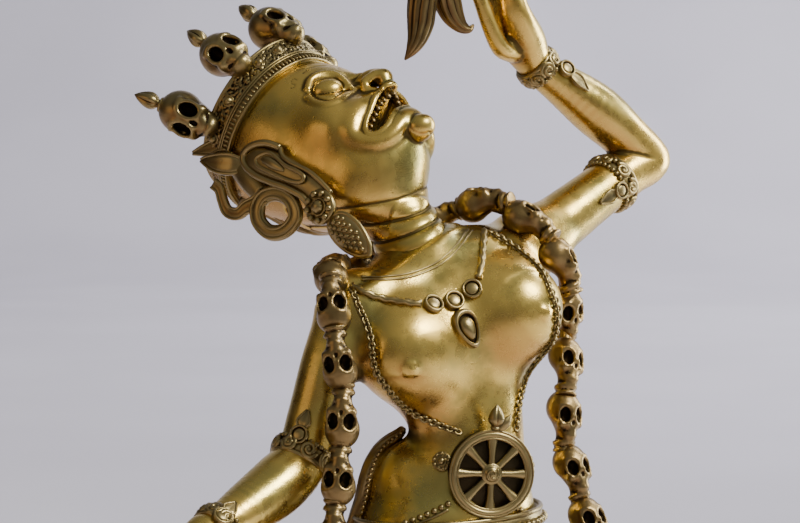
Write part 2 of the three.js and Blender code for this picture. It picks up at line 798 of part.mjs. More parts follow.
// A crescent blade under the handle, edge down, with its two horns curling up, and a bud on the top end.
function curvedKnife() {
  const low = -KNIFE.handleLength / 2;
  const outline = new THREE.Shape();
  outline.moveTo(-KNIFE.bladeSpan, low + 3);
  outline.quadraticCurveTo(-KNIFE.bladeSpan * 0.8, low - 11, 2, low - 12);
  outline.quadraticCurveTo(KNIFE.bladeSpan * 0.8, low - 10, KNIFE.bladeSpan * 0.85, low + 1);
  outline.quadraticCurveTo(KNIFE.bladeSpan * 0.5, low - 3, 3, low + 0.5);
  outline.lineTo(-3, low + 0.5);
  outline.quadraticCurveTo(-KNIFE.bladeSpan * 0.6, low - 3, -KNIFE.bladeSpan, low + 3);
  const thickness = { depth: KNIFE.bladeThickness, bevelEnabled: false, curveSegments: 5 };
  const blade = new THREE.ExtrudeGeometry(outline, thickness);
  blade.translate(0, 0, -KNIFE.bladeThickness / 2);
  const flat = new THREE.Matrix4().makeBasis(
    KNIFE_FRAME.right.clone().negate(),
    KNIFE_FRAME.crown,
    KNIFE_FRAME.front,
  );
  const top = KNIFE_FRAME.at(0, 0, KNIFE.handleLength / 2 + 1.5);
  const finial = ellipsoid(KNIFE_FRAME, top, KNIFE_FINIAL, 8, 6);
  const placed = blade.applyMatrix4(flat.setPosition(KNIFE_FRAME.origin));
  return fuse(knifeHandle(KNIFE.handleRadius), solid(placed), finial);
}

// Assembly

const BRASS = { color: 0xa88440, roughness: 0.36, metalness: 1 };
const DARK_BRASS = { color: 0x6b5228, roughness: 0.5, metalness: 1 };

function meshOf(name, made, finish) {
  const { vertProperties, triVerts } = made.getMesh();
  const geometry = new THREE.BufferGeometry();
  geometry.setAttribute("position", new THREE.BufferAttribute(new Float32Array(vertProperties), 3));
  geometry.setIndex(new THREE.BufferAttribute(new Uint32Array(triVerts), 1));
  geometry.computeVertexNormals();
  const mesh = new THREE.Mesh(geometry, new THREE.MeshStandardMaterial(finish));
  mesh.name = name;
  return mesh;
}

const statue = new THREE.Group();
statue.add(meshOf("lotus_base", lotusBase(), BRASS));
statue.add(meshOf("dakini_figure", figure(), BRASS));
statue.add(meshOf("skull_garland", skullGarland(), DARK_BRASS));
statue.add(meshOf("skull_cup", skullCup(), DARK_BRASS));
statue.add(meshOf("curved_knife", curvedKnife(), BRASS));

export default statue;
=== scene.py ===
"""A cast brass dakini on a low lotus base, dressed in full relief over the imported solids.

Numbers that give shapes are in millimetres in the frame of the solids and become metres when a mesh
is made. She faces -Y, her right hand is towards -X, and she looks straight up at the skull cup.
The skin is cut from a sampled distance field. Ornaments are grids and profiles carried along lines.
"""

import math
from collections import namedtuple

import bpy
import numpy as np
from mathutils import Matrix, Vector


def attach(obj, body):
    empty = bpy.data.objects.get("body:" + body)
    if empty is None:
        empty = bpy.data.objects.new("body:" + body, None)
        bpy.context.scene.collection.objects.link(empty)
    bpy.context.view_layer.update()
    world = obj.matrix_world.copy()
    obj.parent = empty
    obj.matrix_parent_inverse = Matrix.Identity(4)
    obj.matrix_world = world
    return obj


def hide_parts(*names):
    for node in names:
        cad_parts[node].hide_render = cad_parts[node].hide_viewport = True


bl_info = {
    "name": "Brass dakini statue",
    "version": (1, 0, 0),
    "blender": (4, 5, 0),
    "location": "3D View > Sidebar > Dakini",
    "description": "Builds a cast brass dakini with her skull garland, cup, knife and lotus base",
    "category": "Object",
}

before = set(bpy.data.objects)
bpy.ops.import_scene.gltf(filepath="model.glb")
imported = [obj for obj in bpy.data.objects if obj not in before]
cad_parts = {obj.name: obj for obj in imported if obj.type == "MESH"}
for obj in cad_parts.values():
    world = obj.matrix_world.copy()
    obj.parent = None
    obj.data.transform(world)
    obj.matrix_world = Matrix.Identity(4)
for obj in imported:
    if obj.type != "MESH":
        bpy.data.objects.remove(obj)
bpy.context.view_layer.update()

MM = 0.001
BODY = "root"

# The way she faces, and the way up
FORWARD = (0, -1, 0)
UPRIGHT = (0, 0, 1)

Surface = namedtuple("Surface", "points quads triangles")


# Directions and frames

def unit(a):
    """A vector, or each row of an array, divided by its length."""
    a = np.asarray(a, float)
    return a / np.maximum(np.linalg.norm(a, axis=-1, keepdims=True), 1e-12)


def square_to(direction, tangent):
    """The part of a direction at a right angle to a tangent: direction - (direction . tangent) tangent."""
    tangent = unit(tangent)
    along = (np.asarray(direction, float) * tangent).sum(-1, keepdims=True)
    return unit(direction - along * tangent)


class Place:
    """An origin with three unit directions: right is her right side, front the way it faces, crown up."""

    def __init__(self, origin, front, crown):
        self.origin = np.asarray(origin, float)
        self.crown = unit(crown)
        self.front = square_to(np.asarray(front, float), self.crown)
        self.right = np.cross(self.front, self.crown)
        self.basis = np.array([self.right, self.front, self.crown])

    def at(self, *rfc):
        """origin + r right + f front + c crown, for one point or for rows of points."""
        local = np.asarray(rfc[0] if len(rfc) == 1 else rfc, float)
        return self.origin + local @ self.basis

    def local(self, points):
        """The r, f and c of points in the common frame."""
        return (np.asarray(points, float) - self.origin) @ self.basis.T


HEAD = Place((-4, 35.2, 287.4), (0.238, -0.34, 0.907), (-0.248, 0.881, 0.396))
TORSO = Place((12.5, -4, 243), (0, -0.985, 0.17), (-0.29, 0.12, 0.95))
BELLY = Place((14.2, -29.8, 197), (-0.3, -0.95, 0.06), (0.05, 0, 1))
KNIFE = Place((-82, -20, 174.5), (0.3, -1, 0.1), (-0.28, -0.12, 0.95))
CUP = Place((26.5, 11, 354), FORWARD, (-0.34, 0.06, 0.94))

# The picture's points, and how wide one is in millimetres at TARGET
PICTURE_WIDTH = 800
PICTURE_MIDDLE = (400, 261.5)
POINT_WIDTH = 0.30

# The camera looks along -BACK at TARGET, from DISTANCE away
SENSOR_WIDTH = 36
TARGET = np.array([3.0, 2.0, 258.0])
AZIMUTH, ELEVATION, DISTANCE = math.radians(-33), math.radians(4), 750.0
BACK = np.array([
    math.sin(AZIMUTH) * math.cos(ELEVATION),
    -math.cos(AZIMUTH) * math.cos(ELEVATION),
    math.sin(ELEVATION),
])
RIGHT = np.array([math.cos(AZIMUTH), math.sin(AZIMUTH), 0.0])
UP = np.cross(BACK, RIGHT)


# Lines

def smooth_line(rows, count, looped=False):
    """Even steps of a Catmull-Rom curve: between two rows a cubic whose slope at each row is half the
    step from the row before it to the row after it."""
    rows = np.asarray(rows, float)
    n = len(rows)
    if looped:
        steps = np.arange(count) * n / count
        padded = rows[np.arange(-1, n + 2) % n]
        start = np.minimum(steps.astype(int), n - 1)
    else:
        steps = np.linspace(0, n - 1, count)
        padded = np.vstack([2 * rows[0] - rows[1], rows, 2 * rows[-1] - rows[-2]])
        start = np.minimum(steps.astype(int), n - 2)
    u = (steps - start)[:, None]
    a, b, c, d = (padded[start + k] for k in range(4))
    slope = c - a
    bend = 2 * a - 5 * b + 4 * c - d
    twist = 3 * b - a - 3 * c + d
    return 0.5 * (2 * b + slope * u + bend * u**2 + twist * u**3)


def even_line(rows, count, looped=False):
    """The same curve with its points at equal distances along it."""
    dense = smooth_line(rows, 24 * len(rows), looped)
    if looped:
        dense = np.vstack([dense, dense[:1]])
    run = np.r_[0, np.cumsum(np.linalg.norm(np.diff(dense[:, :3], axis=0), axis=1))]
    stops = np.linspace(0, run[-1], count + 1)[:-1] if looped else np.linspace(0, run[-1], count)
    return np.stack([np.interp(stops, run, column) for column in dense.T], 1)


def line_length(line, looped=False):
    """The sum of the steps between the points of a line."""
    ends = np.roll(line, -1, 0) if looped else line[1:]
    starts = line if looped else line[:-1]
    return float(np.linalg.norm(ends[:, :3] - starts[:, :3], axis=1).sum())


def tangents(line, looped=False):
    """The direction from the point before to the point after, at each point of a line."""
    if looped:
        return unit(np.roll(line, -1, 0) - np.roll(line, 1, 0))
    return unit(np.gradient(line, axis=0))


# Surfaces

def full_turn(count):
    """Angles at even steps round a circle."""
    return np.arange(count) * 2 * np.pi / count


def outward(surface):
    """The surface with its faces turned so that the volume that it closes counts as positive."""
    p = surface.points
    fan = np.vstack([surface.quads[:, [0, 1, 2]], surface.quads[:, [0, 2, 3]], surface.triangles])
    volume = np.einsum("ij,ij->i", p[fan[:, 0]], np.cross(p[fan[:, 1]], p[fan[:, 2]])).sum()
    if volume < 0:
        return Surface(p, surface.quads[:, ::-1], surface.triangles[:, ::-1])
    return surface


def grid(points, looped=False):
    """A closed surface from rows of rings. Each ring closes on itself. The rows close too if looped,
    and otherwise each end is filled by a fan to the middle of its ring."""
    rows, cols = points.shape[:2]
    index = np.arange(rows * cols).reshape(rows, cols)
    below = index if looped else index[:-1]
    above = np.roll(index, -1, 0) if looped else index[1:]
    corners = [below, np.roll(below, -1, 1), np.roll(above, -1, 1), above]
    quads = np.stack([c.ravel() for c in corners], 1)
    flat = points.reshape(-1, 3)
    if looped:
        return outward(Surface(flat, quads, np.zeros((0, 3), int)))
    first, last = index[0], index[-1]
    poles = np.array([points[0].mean(0), points[-1].mean(0)])
    low = np.stack([np.full(cols, rows * cols), np.roll(first, -1), first], 1)
    high = np.stack([np.full(cols, rows * cols + 1), last, np.roll(last, -1)], 1)
    return outward(Surface(np.vstack([flat, poles]), quads, np.vstack([low, high])))


def joined(surfaces):
    """Several surfaces as one, with the later ones' point numbers moved on."""
    points, quads, triangles, count = [], [], [], 0
    for s in surfaces:
        points.append(s.points)
        quads.append(s.quads + count)
        triangles.append(s.triangles + count)
        count += len(s.points)
    return Surface(np.vstack(points), np.vstack(quads), np.vstack(triangles))


def copies(surface, origins, axes):
    """The surface at each origin, with its x, y and z carried to the three rows of each axes matrix."""
    origins = np.atleast_2d(origins)
    axes = np.broadcast_to(axes, (len(origins), 3, 3))
    points = origins[:, None] + np.einsum("pi,kij->kpj", surface.points, axes)
    step = (np.arange(len(origins)) * len(surface.points))[:, None, None]
    return Surface(
        points.reshape(-1, 3),
        (surface.quads[None] + step).reshape(-1, 4),
        (surface.triangles[None] + step).reshape(-1, 3),
    )


def moved(surface, points):
    """The same faces on other points."""
    return Surface(points, surface.quads, surface.triangles)


def facing_axes(x, z):
    """Rows x, y, z of a turned frame: z is kept, x is made square to it, and y = z cross x."""
    z = unit(z)
    x = square_to(np.broadcast_to(x, z.shape), z)
    return np.stack([x, np.cross(z, x), z], -2)


def tube(line, wide, deep, facing, sides, looped=False, shape=None):
    """Ovals carried along a line: centre + cos(a) wide across + sin(a) deep along. "along" faces the way
    that facing gives and "across" is square to it. shape(a, place) scales the radius."""
    line = np.asarray(line, float)
    wide = np.broadcast_to(np.asarray(wide, float), len(line))
    deep = wide if deep is None else np.broadcast_to(np.asarray(deep, float), len(line))
    t = tangents(line, looped)
    along = square_to(np.broadcast_to(np.asarray(facing, float), t.shape), t)
    across = np.cross(t, along)
    a = full_turn(sides)
    scale = np.ones((len(line), sides))
    if shape is not None:
        scale = shape(a[None, :], np.linspace(0, 1, len(line))[:, None]) * scale
    points = (
        line[:, None]
        + (np.cos(a)[None, :] * scale * wide[:, None])[..., None] * across[:, None]
        + (np.sin(a)[None, :] * scale * deep[:, None])[..., None] * along[:, None]
    )
    return grid(points, looped)


def strand(stations, count, facing, sides, shape=None):
    """A tube through stations (x, y, z, half width, half depth)."""
    rows = smooth_line(stations, count)
    wide, deep = np.maximum(rows[:, 3:5], 0.05).T
    return tube(rows[:, :3], wide, deep, facing, sides, False, shape)


def turned(profile, sides, shape=None):
    """A profile of (radius, height) rows turned round z. shape(a, row) scales the radius."""
    profile = np.asarray(profile, float)
    a = full_turn(sides)
    radius = np.maximum(profile[:, 0], 0.01)[:, None] * np.ones((1, sides))
    if shape is not None:
        radius = radius * shape(a[None, :], np.arange(len(profile))[:, None])
    height = np.broadcast_to(profile[:, 1:2], radius.shape)
    return grid(np.stack([radius * np.cos(a), radius * np.sin(a), height], -1))


def ball(centre, radii, axes=np.eye(3), rows=9, sides=14):
    """An ellipsoid: radii times (sin b cos a, sin b sin a, cos b) along the three rows of axes."""
    b = np.linspace(0, np.pi, rows + 2)[1:-1]
    profile = np.stack([np.sin(b), np.cos(b)], 1)
    dome = turned(profile, sides)
    radii = np.broadcast_to(np.asarray(radii, float), 3)
    points = np.vstack([dome.points[:-2], [[0, 0, 1], [0, 0, -1]]]) * radii
    return copies(outward(moved(dome, points)), np.asarray(centre, float), np.asarray(axes, float))


def ring(centre, axis, radius, thick, sides, round_sides):
    """A torus: centre + (radius + thick cos b)(cos a, sin a) + thick sin b axis."""
    a = full_turn(sides)
    axis = unit(axis)
    start = np.array([1.0, 0, 0]) if abs(axis[0]) < 0.8 else np.array([0, 1.0, 0])
    x = square_to(start, axis)
    y = np.cross(axis, x)
    line = np.asarray(centre, float) + radius * (np.cos(a)[:, None] * x + np.sin(a)[:, None] * y)
    return tube(line, thick, None, axis, round_sides, True)


def beads(line, radius, looped=False, sides=7):
    """Balls in a row along a line, each touching the next."""
    count = max(2, int(round(line_length(line, looped) / (2 * radius))))
    spots = even_line(line, count, looped)
    one = ball((0, 0, 0), radius, np.eye(3), 4, sides)
    axes = facing_axes(FORWARD, tangents(spots, looped))
    return copies(one, spots, axes[:, [1, 0, 2]] * [[1], [-1], [1]])


def rope(line, radius, sides):
    """A twisted cord of two strands. Its radius is scaled by 1 + 0.24 cos(2 (a - turn)), and the turn
    grows by a full circle in each 6.4 radii of its length."""
    turns = max(1, round(line_length(line) / (6.4 * radius)))

    def lobes(a, place):
        return 1 + 0.24 * np.cos(2 * a - 4 * np.pi * turns * place)

    return tube(even_line(line, max(12, 10 * turns)), radius, None, FORWARD, sides, False, lobes)


# Distance fields

# A distance far outside any skin
FAR = 9.0


class Field:
    """Signed distances in millimetres at the points of a cubic grid, less than nothing inside."""

    def __init__(self, low, high, pitch):
        self.low = np.asarray(low, float)
        self.pitch = pitch
        self.size = np.ceil((np.asarray(high, float) - self.low) / pitch).astype(int) + 1
        self.values = np.full(self.size, FAR, np.float32)

    def window(self, low, high):
        """The part of the grid inside a box, and the x, y and z of its samples."""
        first = np.floor((np.asarray(low) - self.low) / self.pitch)
        last = np.ceil((np.asarray(high) - self.low) / self.pitch) + 1
        first = np.clip(first, 0, self.size - 1).astype(int)
        last = np.clip(last, first + 1, self.size).astype(int)
        part = tuple(slice(a, b) for a, b in zip(first, last))
        spans = [self.low[i] + self.pitch * np.arange(first[i], last[i]) for i in range(3)]
        return part, np.meshgrid(
            *(span.astype(np.float32) for span in spans), indexing="ij", sparse=True,
        )

    def read(self, points):
        """The distance at any points, weighted from the eight samples round each."""
        spot = (np.asarray(points) - self.low) / self.pitch
        spot = np.clip(spot, 0, self.size - 1.001)
        whole = spot.astype(int)
        part = spot - whole
        total = np.zeros(len(spot))
        for corner in np.ndindex(2, 2, 2):
            weight = np.prod(np.where(corner, part, 1 - part), axis=1)
            i, j, k = (whole + corner).T
            total += weight * self.values[i, j, k]
        return total

    def slope(self, points):
        """How the distance grows along x, y and z, from readings 0.6 of a pitch either side."""
        step = 0.6 * self.pitch
        grown = [self.read(points + way) - self.read(points - way) for way in step * np.eye(3)]
        return np.stack(grown, 1) / (2 * step)

    def settle(self, points, lift=0.0, rounds=3):
        """Points moved along the slope until the distance there is lift."""
        points = np.array(points, float)
        for _ in range(rounds):
            slope = self.slope(points)
            size = np.maximum((slope**2).sum(1), 0.2)
            points -= ((self.read(points) - lift) / size)[:, None] * slope
        return points

    def join(self, part, near, blend):
        """Adds what a distance encloses to a part of the grid."""
        self.values[part] = blended(self.values[part], near, blend)

    def carve(self, part, near, blend):
        """Cuts what a distance encloses out of a part of the grid."""
        self.values[part] = -blended(-self.values[part], near, blend)


def blended(a, b, k):
    """The lesser of two distances, rounded over k millimetres where they meet."""
    if k <= 0:
        return np.minimum(a, b)
    h = np.maximum(k - np.abs(a - b), 0) / k
    return np.minimum(a, b) - h * h * (k / 4)


def oval_distance(u, w, s, wide, deep, end):
    """About how far a point is from an ellipsoid with half axes wide, deep and end."""
    k0 = np.sqrt((u / wide) ** 2 + (w / deep) ** 2 + (s / end) ** 2)
    k1 = np.sqrt((u / wide**2) ** 2 + (w / deep**2) ** 2 + (s / end**2) ** 2)
    return k0 * (k0 - 1) / np.maximum(k1, 1e-4)


def limb_distance(field, rows, facing, margin):
    """The part of the field near a chain of spans, and its distance to the nearest of them. A row is
    x, y, z, half width and half depth, and a span is an oval rod between two rows."""
    reach = rows[:, 3:5].max() + margin
    part, _ = field.window(rows[:, :3].min(0) - reach, rows[:, :3].max(0) + reach)
    near = np.full([s.stop - s.start for s in part], FAR, np.float32)
    t = tangents(rows[:, :3])
    along = square_to(np.broadcast_to(np.asarray(facing, float), t.shape), t)
    for i in range(len(rows) - 1):
        a, b = rows[i], rows[i + 1]
        pad = max(a[3:5].max(), b[3:5].max()) + margin
        inner, (x, y, z) = field.window(np.minimum(a[:3], b[:3]) - pad, np.maximum(a[:3], b[:3]) + pad)
        span = b[:3] - a[:3]
        if span @ span < 1e-6:
            continue
        dx, dy, dz = x - a[0], y - a[1], z - a[2]
        share = np.clip((dx * span[0] + dy * span[1] + dz * span[2]) / (span @ span), 0, 1)
        dx, dy, dz = dx - share * span[0], dy - share * span[1], dz - share * span[2]
        axis = unit(span)
        out = square_to(along[i] + along[i + 1], axis)
        side = np.cross(axis, out)
        wide = a[3] + share * (b[3] - a[3])
        deep = a[4] + share * (b[4] - a[4])
        u = dx * side[0] + dy * side[1] + dz * side[2]
        w = dx * out[0] + dy * out[1] + dz * out[2]
        s = dx * axis[0] + dy * axis[1] + dz * axis[2]
        d = oval_distance(u, w, s, wide, deep, np.minimum(wide, deep))
        cut = tuple(slice(p.start - q.start, p.stop - q.start) for p, q in zip(inner, part))
        near[cut] = np.minimum(near[cut], d)
    return part, near


def add_limb(field, stations, count, blend, facing=FORWARD):
    """A limb through stations (x, y, z, half width, half depth), blended with what is there."""
    rows = smooth_line(np.asarray(stations, float), count)
    field.join(*limb_distance(field, rows, facing, blend + 2.5), blend)


def rod_distance(field, line, radius, margin):
    """The part of the field near a line, and its distance to a round rod along it."""
    width = np.broadcast_to(radius, len(line))
    return limb_distance(field, np.column_stack([line, width, width]), (0.3, 0.5, 0.8), margin)


def cut_line(field, line, radius, blend):
    """A round groove cut along a line."""
    field.carve(*rod_distance(field, line, radius, blend + 2.0), blend)


def raise_line(field, line, radius, blend):
    """A round ridge along a line."""
    field.join(*rod_distance(field, line, radius, blend + 2.0), blend)


def ellipsoid_distance(field, centre, radii, axes, margin):
    """The part of the field near an ellipsoid, and its distance to it."""
    centre = np.asarray(centre, float)
    radii = np.broadcast_to(np.asarray(radii, float), 3)
    reach = radii.max() + margin
    part, (x, y, z) = field.window(centre - reach, centre + reach)
    dx, dy, dz = x - centre[0], y - centre[1], z - centre[2]
    u, w, s = (dx * axis[0] + dy * axis[1] + dz * axis[2] for axis in np.asarray(axes, float))
    return part, oval_distance(u, w, s, *radii)


def add_ellipsoid(field, centre, radii, blend, axes=np.eye(3)):
    """An ellipsoid blended with what is there."""
    field.join(*ellipsoid_distance(field, centre, radii, axes, blend + 2.5), blend)


def cut_ellipsoid(field, centre, radii, blend, axes=np.eye(3)):
    """An ellipsoid cut away with a rounded edge."""
    field.carve(*ellipsoid_distance(field, centre, radii, axes, blend + 2.5), blend)


def add_stack(field, rings, blend):
    """Ovals stacked along a leaning line: each ring is its centre, across, along, half width and half
    depth. A point belongs to the slanted plane between two rings that passes through it."""
    reach = rings[:, 9:11].max() + 4
    part, (x, y, z) = field.window(rings[:, :3].min(0) - reach, rings[:, :3].max(0) + reach)
    near = np.full([s.stop - s.start for s in part], FAR, np.float32)
    normals = unit(np.cross(rings[:, 3:6], rings[:, 6:9]))
    normals *= np.sign((normals * (rings[-1, :3] - rings[0, :3])).sum(1))[:, None]

    def height(i):
        c, n = rings[i, :3], normals[i]
        return (x - c[0]) * n[0] + (y - c[1]) * n[1] + (z - c[2]) * n[2]

    def oval(i, share, j):
        row = [rings[i, k] + share * (rings[j, k] - rings[i, k]) for k in range(11)]
        dx, dy, dz = x - row[0], y - row[1], z - row[2]
        u = dx * row[3] + dy * row[4] + dz * row[5]
        w = dx * row[6] + dy * row[7] + dz * row[8]
        return oval_distance(u, w, 0 * u, row[9], row[10], 1.0)

    below = height(0)
    near = np.where(below < 0, np.maximum(oval(0, 0.0, 0), -below), near)
    for i in range(len(rings) - 1):
        above = height(i + 1)
        between = (below >= 0) & (above < 0)
        share = np.clip(below / np.where(between, below - above, 1), 0, 1)
        near = np.where(between, oval(i, share, i + 1), near)
        below = above
    near = np.where(below >= 0, np.maximum(oval(-1, 0.0, -1), below), near)
    field.join(part, near.astype(np.float32), blend)


def crossings(values, axis, strides):
    """The grid's edges along one axis that the zero level crosses: the numbers of the four cells round
    each, in the order of a quad that faces out, and where the level crosses it."""
    turned_values = np.moveaxis(values, axis, 0)
    low, high = turned_values[:-1], turned_values[1:]
    hits = np.nonzero((low < 0) != (high < 0))
    share = low[hits] / (low[hits] - high[hits])
    spots = np.empty((len(share), 3))
    others = [k for k in range(3) if k != axis]
    spots[:, axis] = hits[0] + share
    spots[:, others[0]] = hits[1]
    spots[:, others[1]] = hits[2]
    first = np.floor(spots).astype(int)
    first[:, axis] = hits[0]
    cell = first @ strides
    b, c = strides[(axis + 1) % 3], strides[(axis + 2) % 3]
    quads = np.stack([cell - b - c, cell - c, cell, cell - b], 1)
    falling = low[hits] >= 0
    quads[falling] = quads[falling][:, ::-1]
    return quads, spots


def wrapped(field):
    """The skin of a field. Each cell that the zero level passes through gets one point, the mean of the
    level's crossings on its edges, and each crossed edge gets one quad through its four cells."""
    v = field.values
    for axis in range(3):
        border = np.moveaxis(v, axis, 0)
        border[0] = FAR
        border[-1] = FAR
    strides = np.array([v.shape[1] * v.shape[2], v.shape[2], 1])
    found = [crossings(v, axis, strides) for axis in range(3)]
    cells, spots = (np.vstack(rows) for rows in zip(*found))
    spots = np.repeat(spots, 4, axis=0)
    _, index = np.unique(cells, return_inverse=True)
    index = index.ravel()
    count = np.bincount(index)
    points = np.stack([np.bincount(index, spots[:, k]) / count for k in range(3)], 1)
    skin = Surface(field.low + field.pitch * points, index.reshape(-1, 4), np.zeros((0, 3), int))
    even = skin.points
    for _ in range(3):
        even = field.settle(0.45 * even + 0.55 * smoothed(skin, even, 1), 0.0, 1)
    return moved(skin, even)


def edges_of(surface):
    """Each pair of neighbouring points once."""
    q, t = surface.quads, surface.triangles
    pairs = [q[:, [k, (k + 1) % 4]] for k in range(4)] + [t[:, [k, (k + 1) % 3]] for k in range(3)]
    pairs = np.sort(np.vstack(pairs), 1)
    code = np.unique(pairs[:, 0].astype(np.int64) * len(surface.points) + pairs[:, 1])
    return np.stack([code // len(surface.points), code % len(surface.points)], 1)


def smoothed(surface, points, rounds):
    """Each point moved to the mean of its neighbours, several times."""
    a, b = edges_of(surface).T
    n = len(points)
    degree = np.maximum(np.bincount(np.concatenate([a, b]), minlength=n), 1)
    for _ in range(rounds):
        sums = [np.bincount(a, points[b, k], n) + np.bincount(b, points[a, k], n) for k in range(3)]
        points = np.stack(sums, 1) / degree[:, None]
    return points


# Places that are read off the view, and still lie on the skin

def sight(pixels):
    """The start and direction of the line of sight through each point of an 800 by 523 picture."""
    pixels = np.asarray(pixels, float)
    across, down = PICTURE_MIDDLE
    flat = TARGET + POINT_WIDTH * ((pixels[:, :1] - across) * RIGHT + (down - pixels[:, 1:2]) * UP)
    eye = TARGET + DISTANCE * BACK
    return np.broadcast_to(eye, flat.shape), unit(flat - eye)


# How far from the camera the first look is, in front of all of the statue, and how many looks are taken
FIRST_LOOK = DISTANCE - 190
LOOKS = 90


def seen_on(field, pixels, lift, place=None):
    """Where the line of sight through each picture point first comes within lift of a field's skin, or
    where it comes nearest. Steps along the line are a share of the distance that is left."""
    eye, way = sight(pixels)
    if place is not None:
        eye, way = place.local(eye), way @ place.basis.T
    run = np.full(len(eye), FIRST_LOOK)
    best, best_run = np.full(len(eye), 1e9), run.copy()
    for _ in range(LOOKS):
        d = field.read(eye + run[:, None] * way) - lift
        closer = np.abs(d) < best
        best = np.where(closer, np.abs(d), best)
        best_run = np.where(closer, run, best_run)
        run = run + np.where(best < 0.02, 0, 0.6 * np.maximum(d, -2))
    spots = eye + best_run[:, None] * way
    return spots if place is None else place.at(spots)


def skin_facing(field, points):
    """The way out of a field's skin at points."""
    return unit(field.slope(points))


KEPT = {}


def kept(name, make):
    """A field, surface or finish that several pieces use, made once."""
    if name not in KEPT:
        KEPT[name] = make()
    return KEPT[name]


# The figure's skin

# Steps of the distance fields
TORSO_PITCH = 0.85
LEG_PITCH = 1.0
HEAD_PITCH = 0.48
GARLAND_PITCH = 0.7
CROWN_PITCH = 0.45

SOLE = 40.3
SHOULDER_LEFT = (51, 1, 262)
ELBOW_LEFT = (100, 7, 287)
WRIST_LEFT = (58.5, 9, 317)
PALM_LEFT = (46, 7.5, 333)
SHOULDER_RIGHT = (-16.5, -2, 245)
ELBOW_RIGHT = (-36, -6, 203)
WRIST_RIGHT = (-70, -16, 187)
PALM_RIGHT = (-80, -19.5, 177)
CUP_RADIUS = 17
CUP_DEPTH = 15

# Rings of the trunk: x, y, z, half width, half depth, and roll towards her right in degrees
TRUNK = [
    (13, -6, 150, 15, 11, 0),
    (13, -6, 158, 26, 18, 0),
    (13, -7, 170, 30, 20.5, 0),
    (13.4, -8, 177, 29.4, 20.4, 1),
    (14, -9, 185, 27.2, 19.4, 2),
    (16, -11, 195, 21.5, 16, 5),
    (18, -12, 207, 18.3, 13.6, 8),
    (17, -9.5, 219, 20, 14.5, 12),
    (14.5, -6.5, 232, 24.5, 16.5, 15),
    (12.5, -4, 243, 28, 17.5, 17),
    (13, -1.5, 254, 31, 14.5, 17),
    (12.5, 1, 261, 23, 11.5, 15),
    (11.0, 3, 265, 11, 9.6, 12),
]

LEFT_ARM = [
    (36, -1, 256, 11, 10),
    (*SHOULDER_LEFT, 9.8, 9.6),
    (75, 4, 274.5, 8.4, 8.3),
    (92, 6.5, 283, 8, 8),
    (*ELBOW_LEFT, 7.6, 8),
    (92.2, 7.5, 294.6, 7.6, 8.2),
    (81, 8, 303, 8.4, 8.4),
    (68, 8.5, 311, 6.7, 6.6),
    (*WRIST_LEFT, 5.6, 5.6),
    (52, 8.5, 325, 7, 8.5),
    (*PALM_LEFT, 5.5, 10),
    (43.5, 8.5, 341, 4, 9),
]

RIGHT_ARM = [
    (-4, -2, 250, 10, 9),
    (*SHOULDER_RIGHT, 8.8, 8.8),
    (-25, -4, 232, 8, 8.2),
    (-31, -5, 216, 7.6, 8),
    (*ELBOW_RIGHT, 8, 8.2),
    (-46, -9, 196, 8.8, 8.6),
    (-58, -12.5, 191, 7.6, 7.4),
    (*WRIST_RIGHT, 5.4, 5.6),
    (-75, -17.5, 184.5, 6.6, 6.4),
    (*PALM_RIGHT, 5.5, 7),
]

BENT_LEG = [
    (24, -8, 172, 17, 17),
    (29, -9, 163, 18, 18),
    (42, -18, 147, 16.4, 16),
    (56, -28, 129, 13.6, 13.6),
    (66, -34, 117, 11.4, 12),
    (66, -27, 100, 10.5, 11.4),
    (62, -17, 80, 8.6, 9.4),
    (58, -8, 54, 6, 6.4),
    (58, -8, 44.3, 6, 6),
]

STRAIGHT_LEG = [
    (3, -6, 172, 17, 17),
    (-3, -6, 163, 18, 18),
    (-14, -8.5, 145, 16, 16),
    (-26, -11, 126, 13.4, 13.4),
    (-36, -12, 108, 11.2, 11.6),
    (-46, -10, 92, 10.6, 11),
    (-57, -7, 74, 8.6, 9),
    (-68, -4, 54, 6, 6.4),
    (-70, -4, 44.3, 6, 6),
]

FEET = [((58, -8), (74, -36)), ((-68, -4), (-79, -34))]

NECK = [
    (13, -4.5, 248), (10.6, 1.8, 257.7), (8.7, 6.1, 265.4), (7.1, 11.0, 272.4), (5.1, 17.5, 279.4),
    (3.4, 21.3, 282.6),
]
NECK_RADII = (13.6, 12.9, 11.5, 11.0, 11.3, 11.8)


def trunk_rings(count):
    """The trunk's rings with a smooth line through their centres, sizes and rolls."""
    rows = smooth_line(TRUNK, count)
    roll = np.radians(rows[:, 5])
    across = np.stack([np.cos(roll), 0 * roll, np.sin(roll)], 1)
    along = np.broadcast_to((0.0, -1.0, 0.0), across.shape)
    return np.hstack([rows[:, :3], across, along, rows[:, 3:5]])


def finger_rows(points, radius):
    """Stations of a finger that thins by 0.09 of its first radius from knuckle to knuckle."""
    return [(*p, radius * (1 - 0.09 * i), radius * (1 - 0.09 * i)) for i, p in enumerate(points)]


def left_fingers():
    """Four fingers and a thumb that hold the cup from below and behind."""
    grip = Place(CUP.origin, (1, 0, 0), UPRIGHT)
    reach = CUP_RADIUS + 3.2
    made = []
    for degrees in (-32, -11, 11, 32):
        turn = math.radians(degrees)
        spots = [(45, 8 + degrees * 0.2, 338)]
        for rise in (-22, 2, 16):
            lift = math.radians(rise)
            spots.append(
                grip.at(
                    -math.sin(turn) * math.cos(lift) * reach,
                    math.cos(turn) * math.cos(lift) * reach,
                    math.sin(lift) * reach,
                )
            )
        made.append(finger_rows(spots, 2.9))
    thumb = [(47, 6.5, 321), (41.5, 4.6, 322.5), (37.5, 4.4, 329), (34.2, 4.8, 337), (31.5, 6, 343)]
    made.append(finger_rows(thumb, 3.3))
    return made


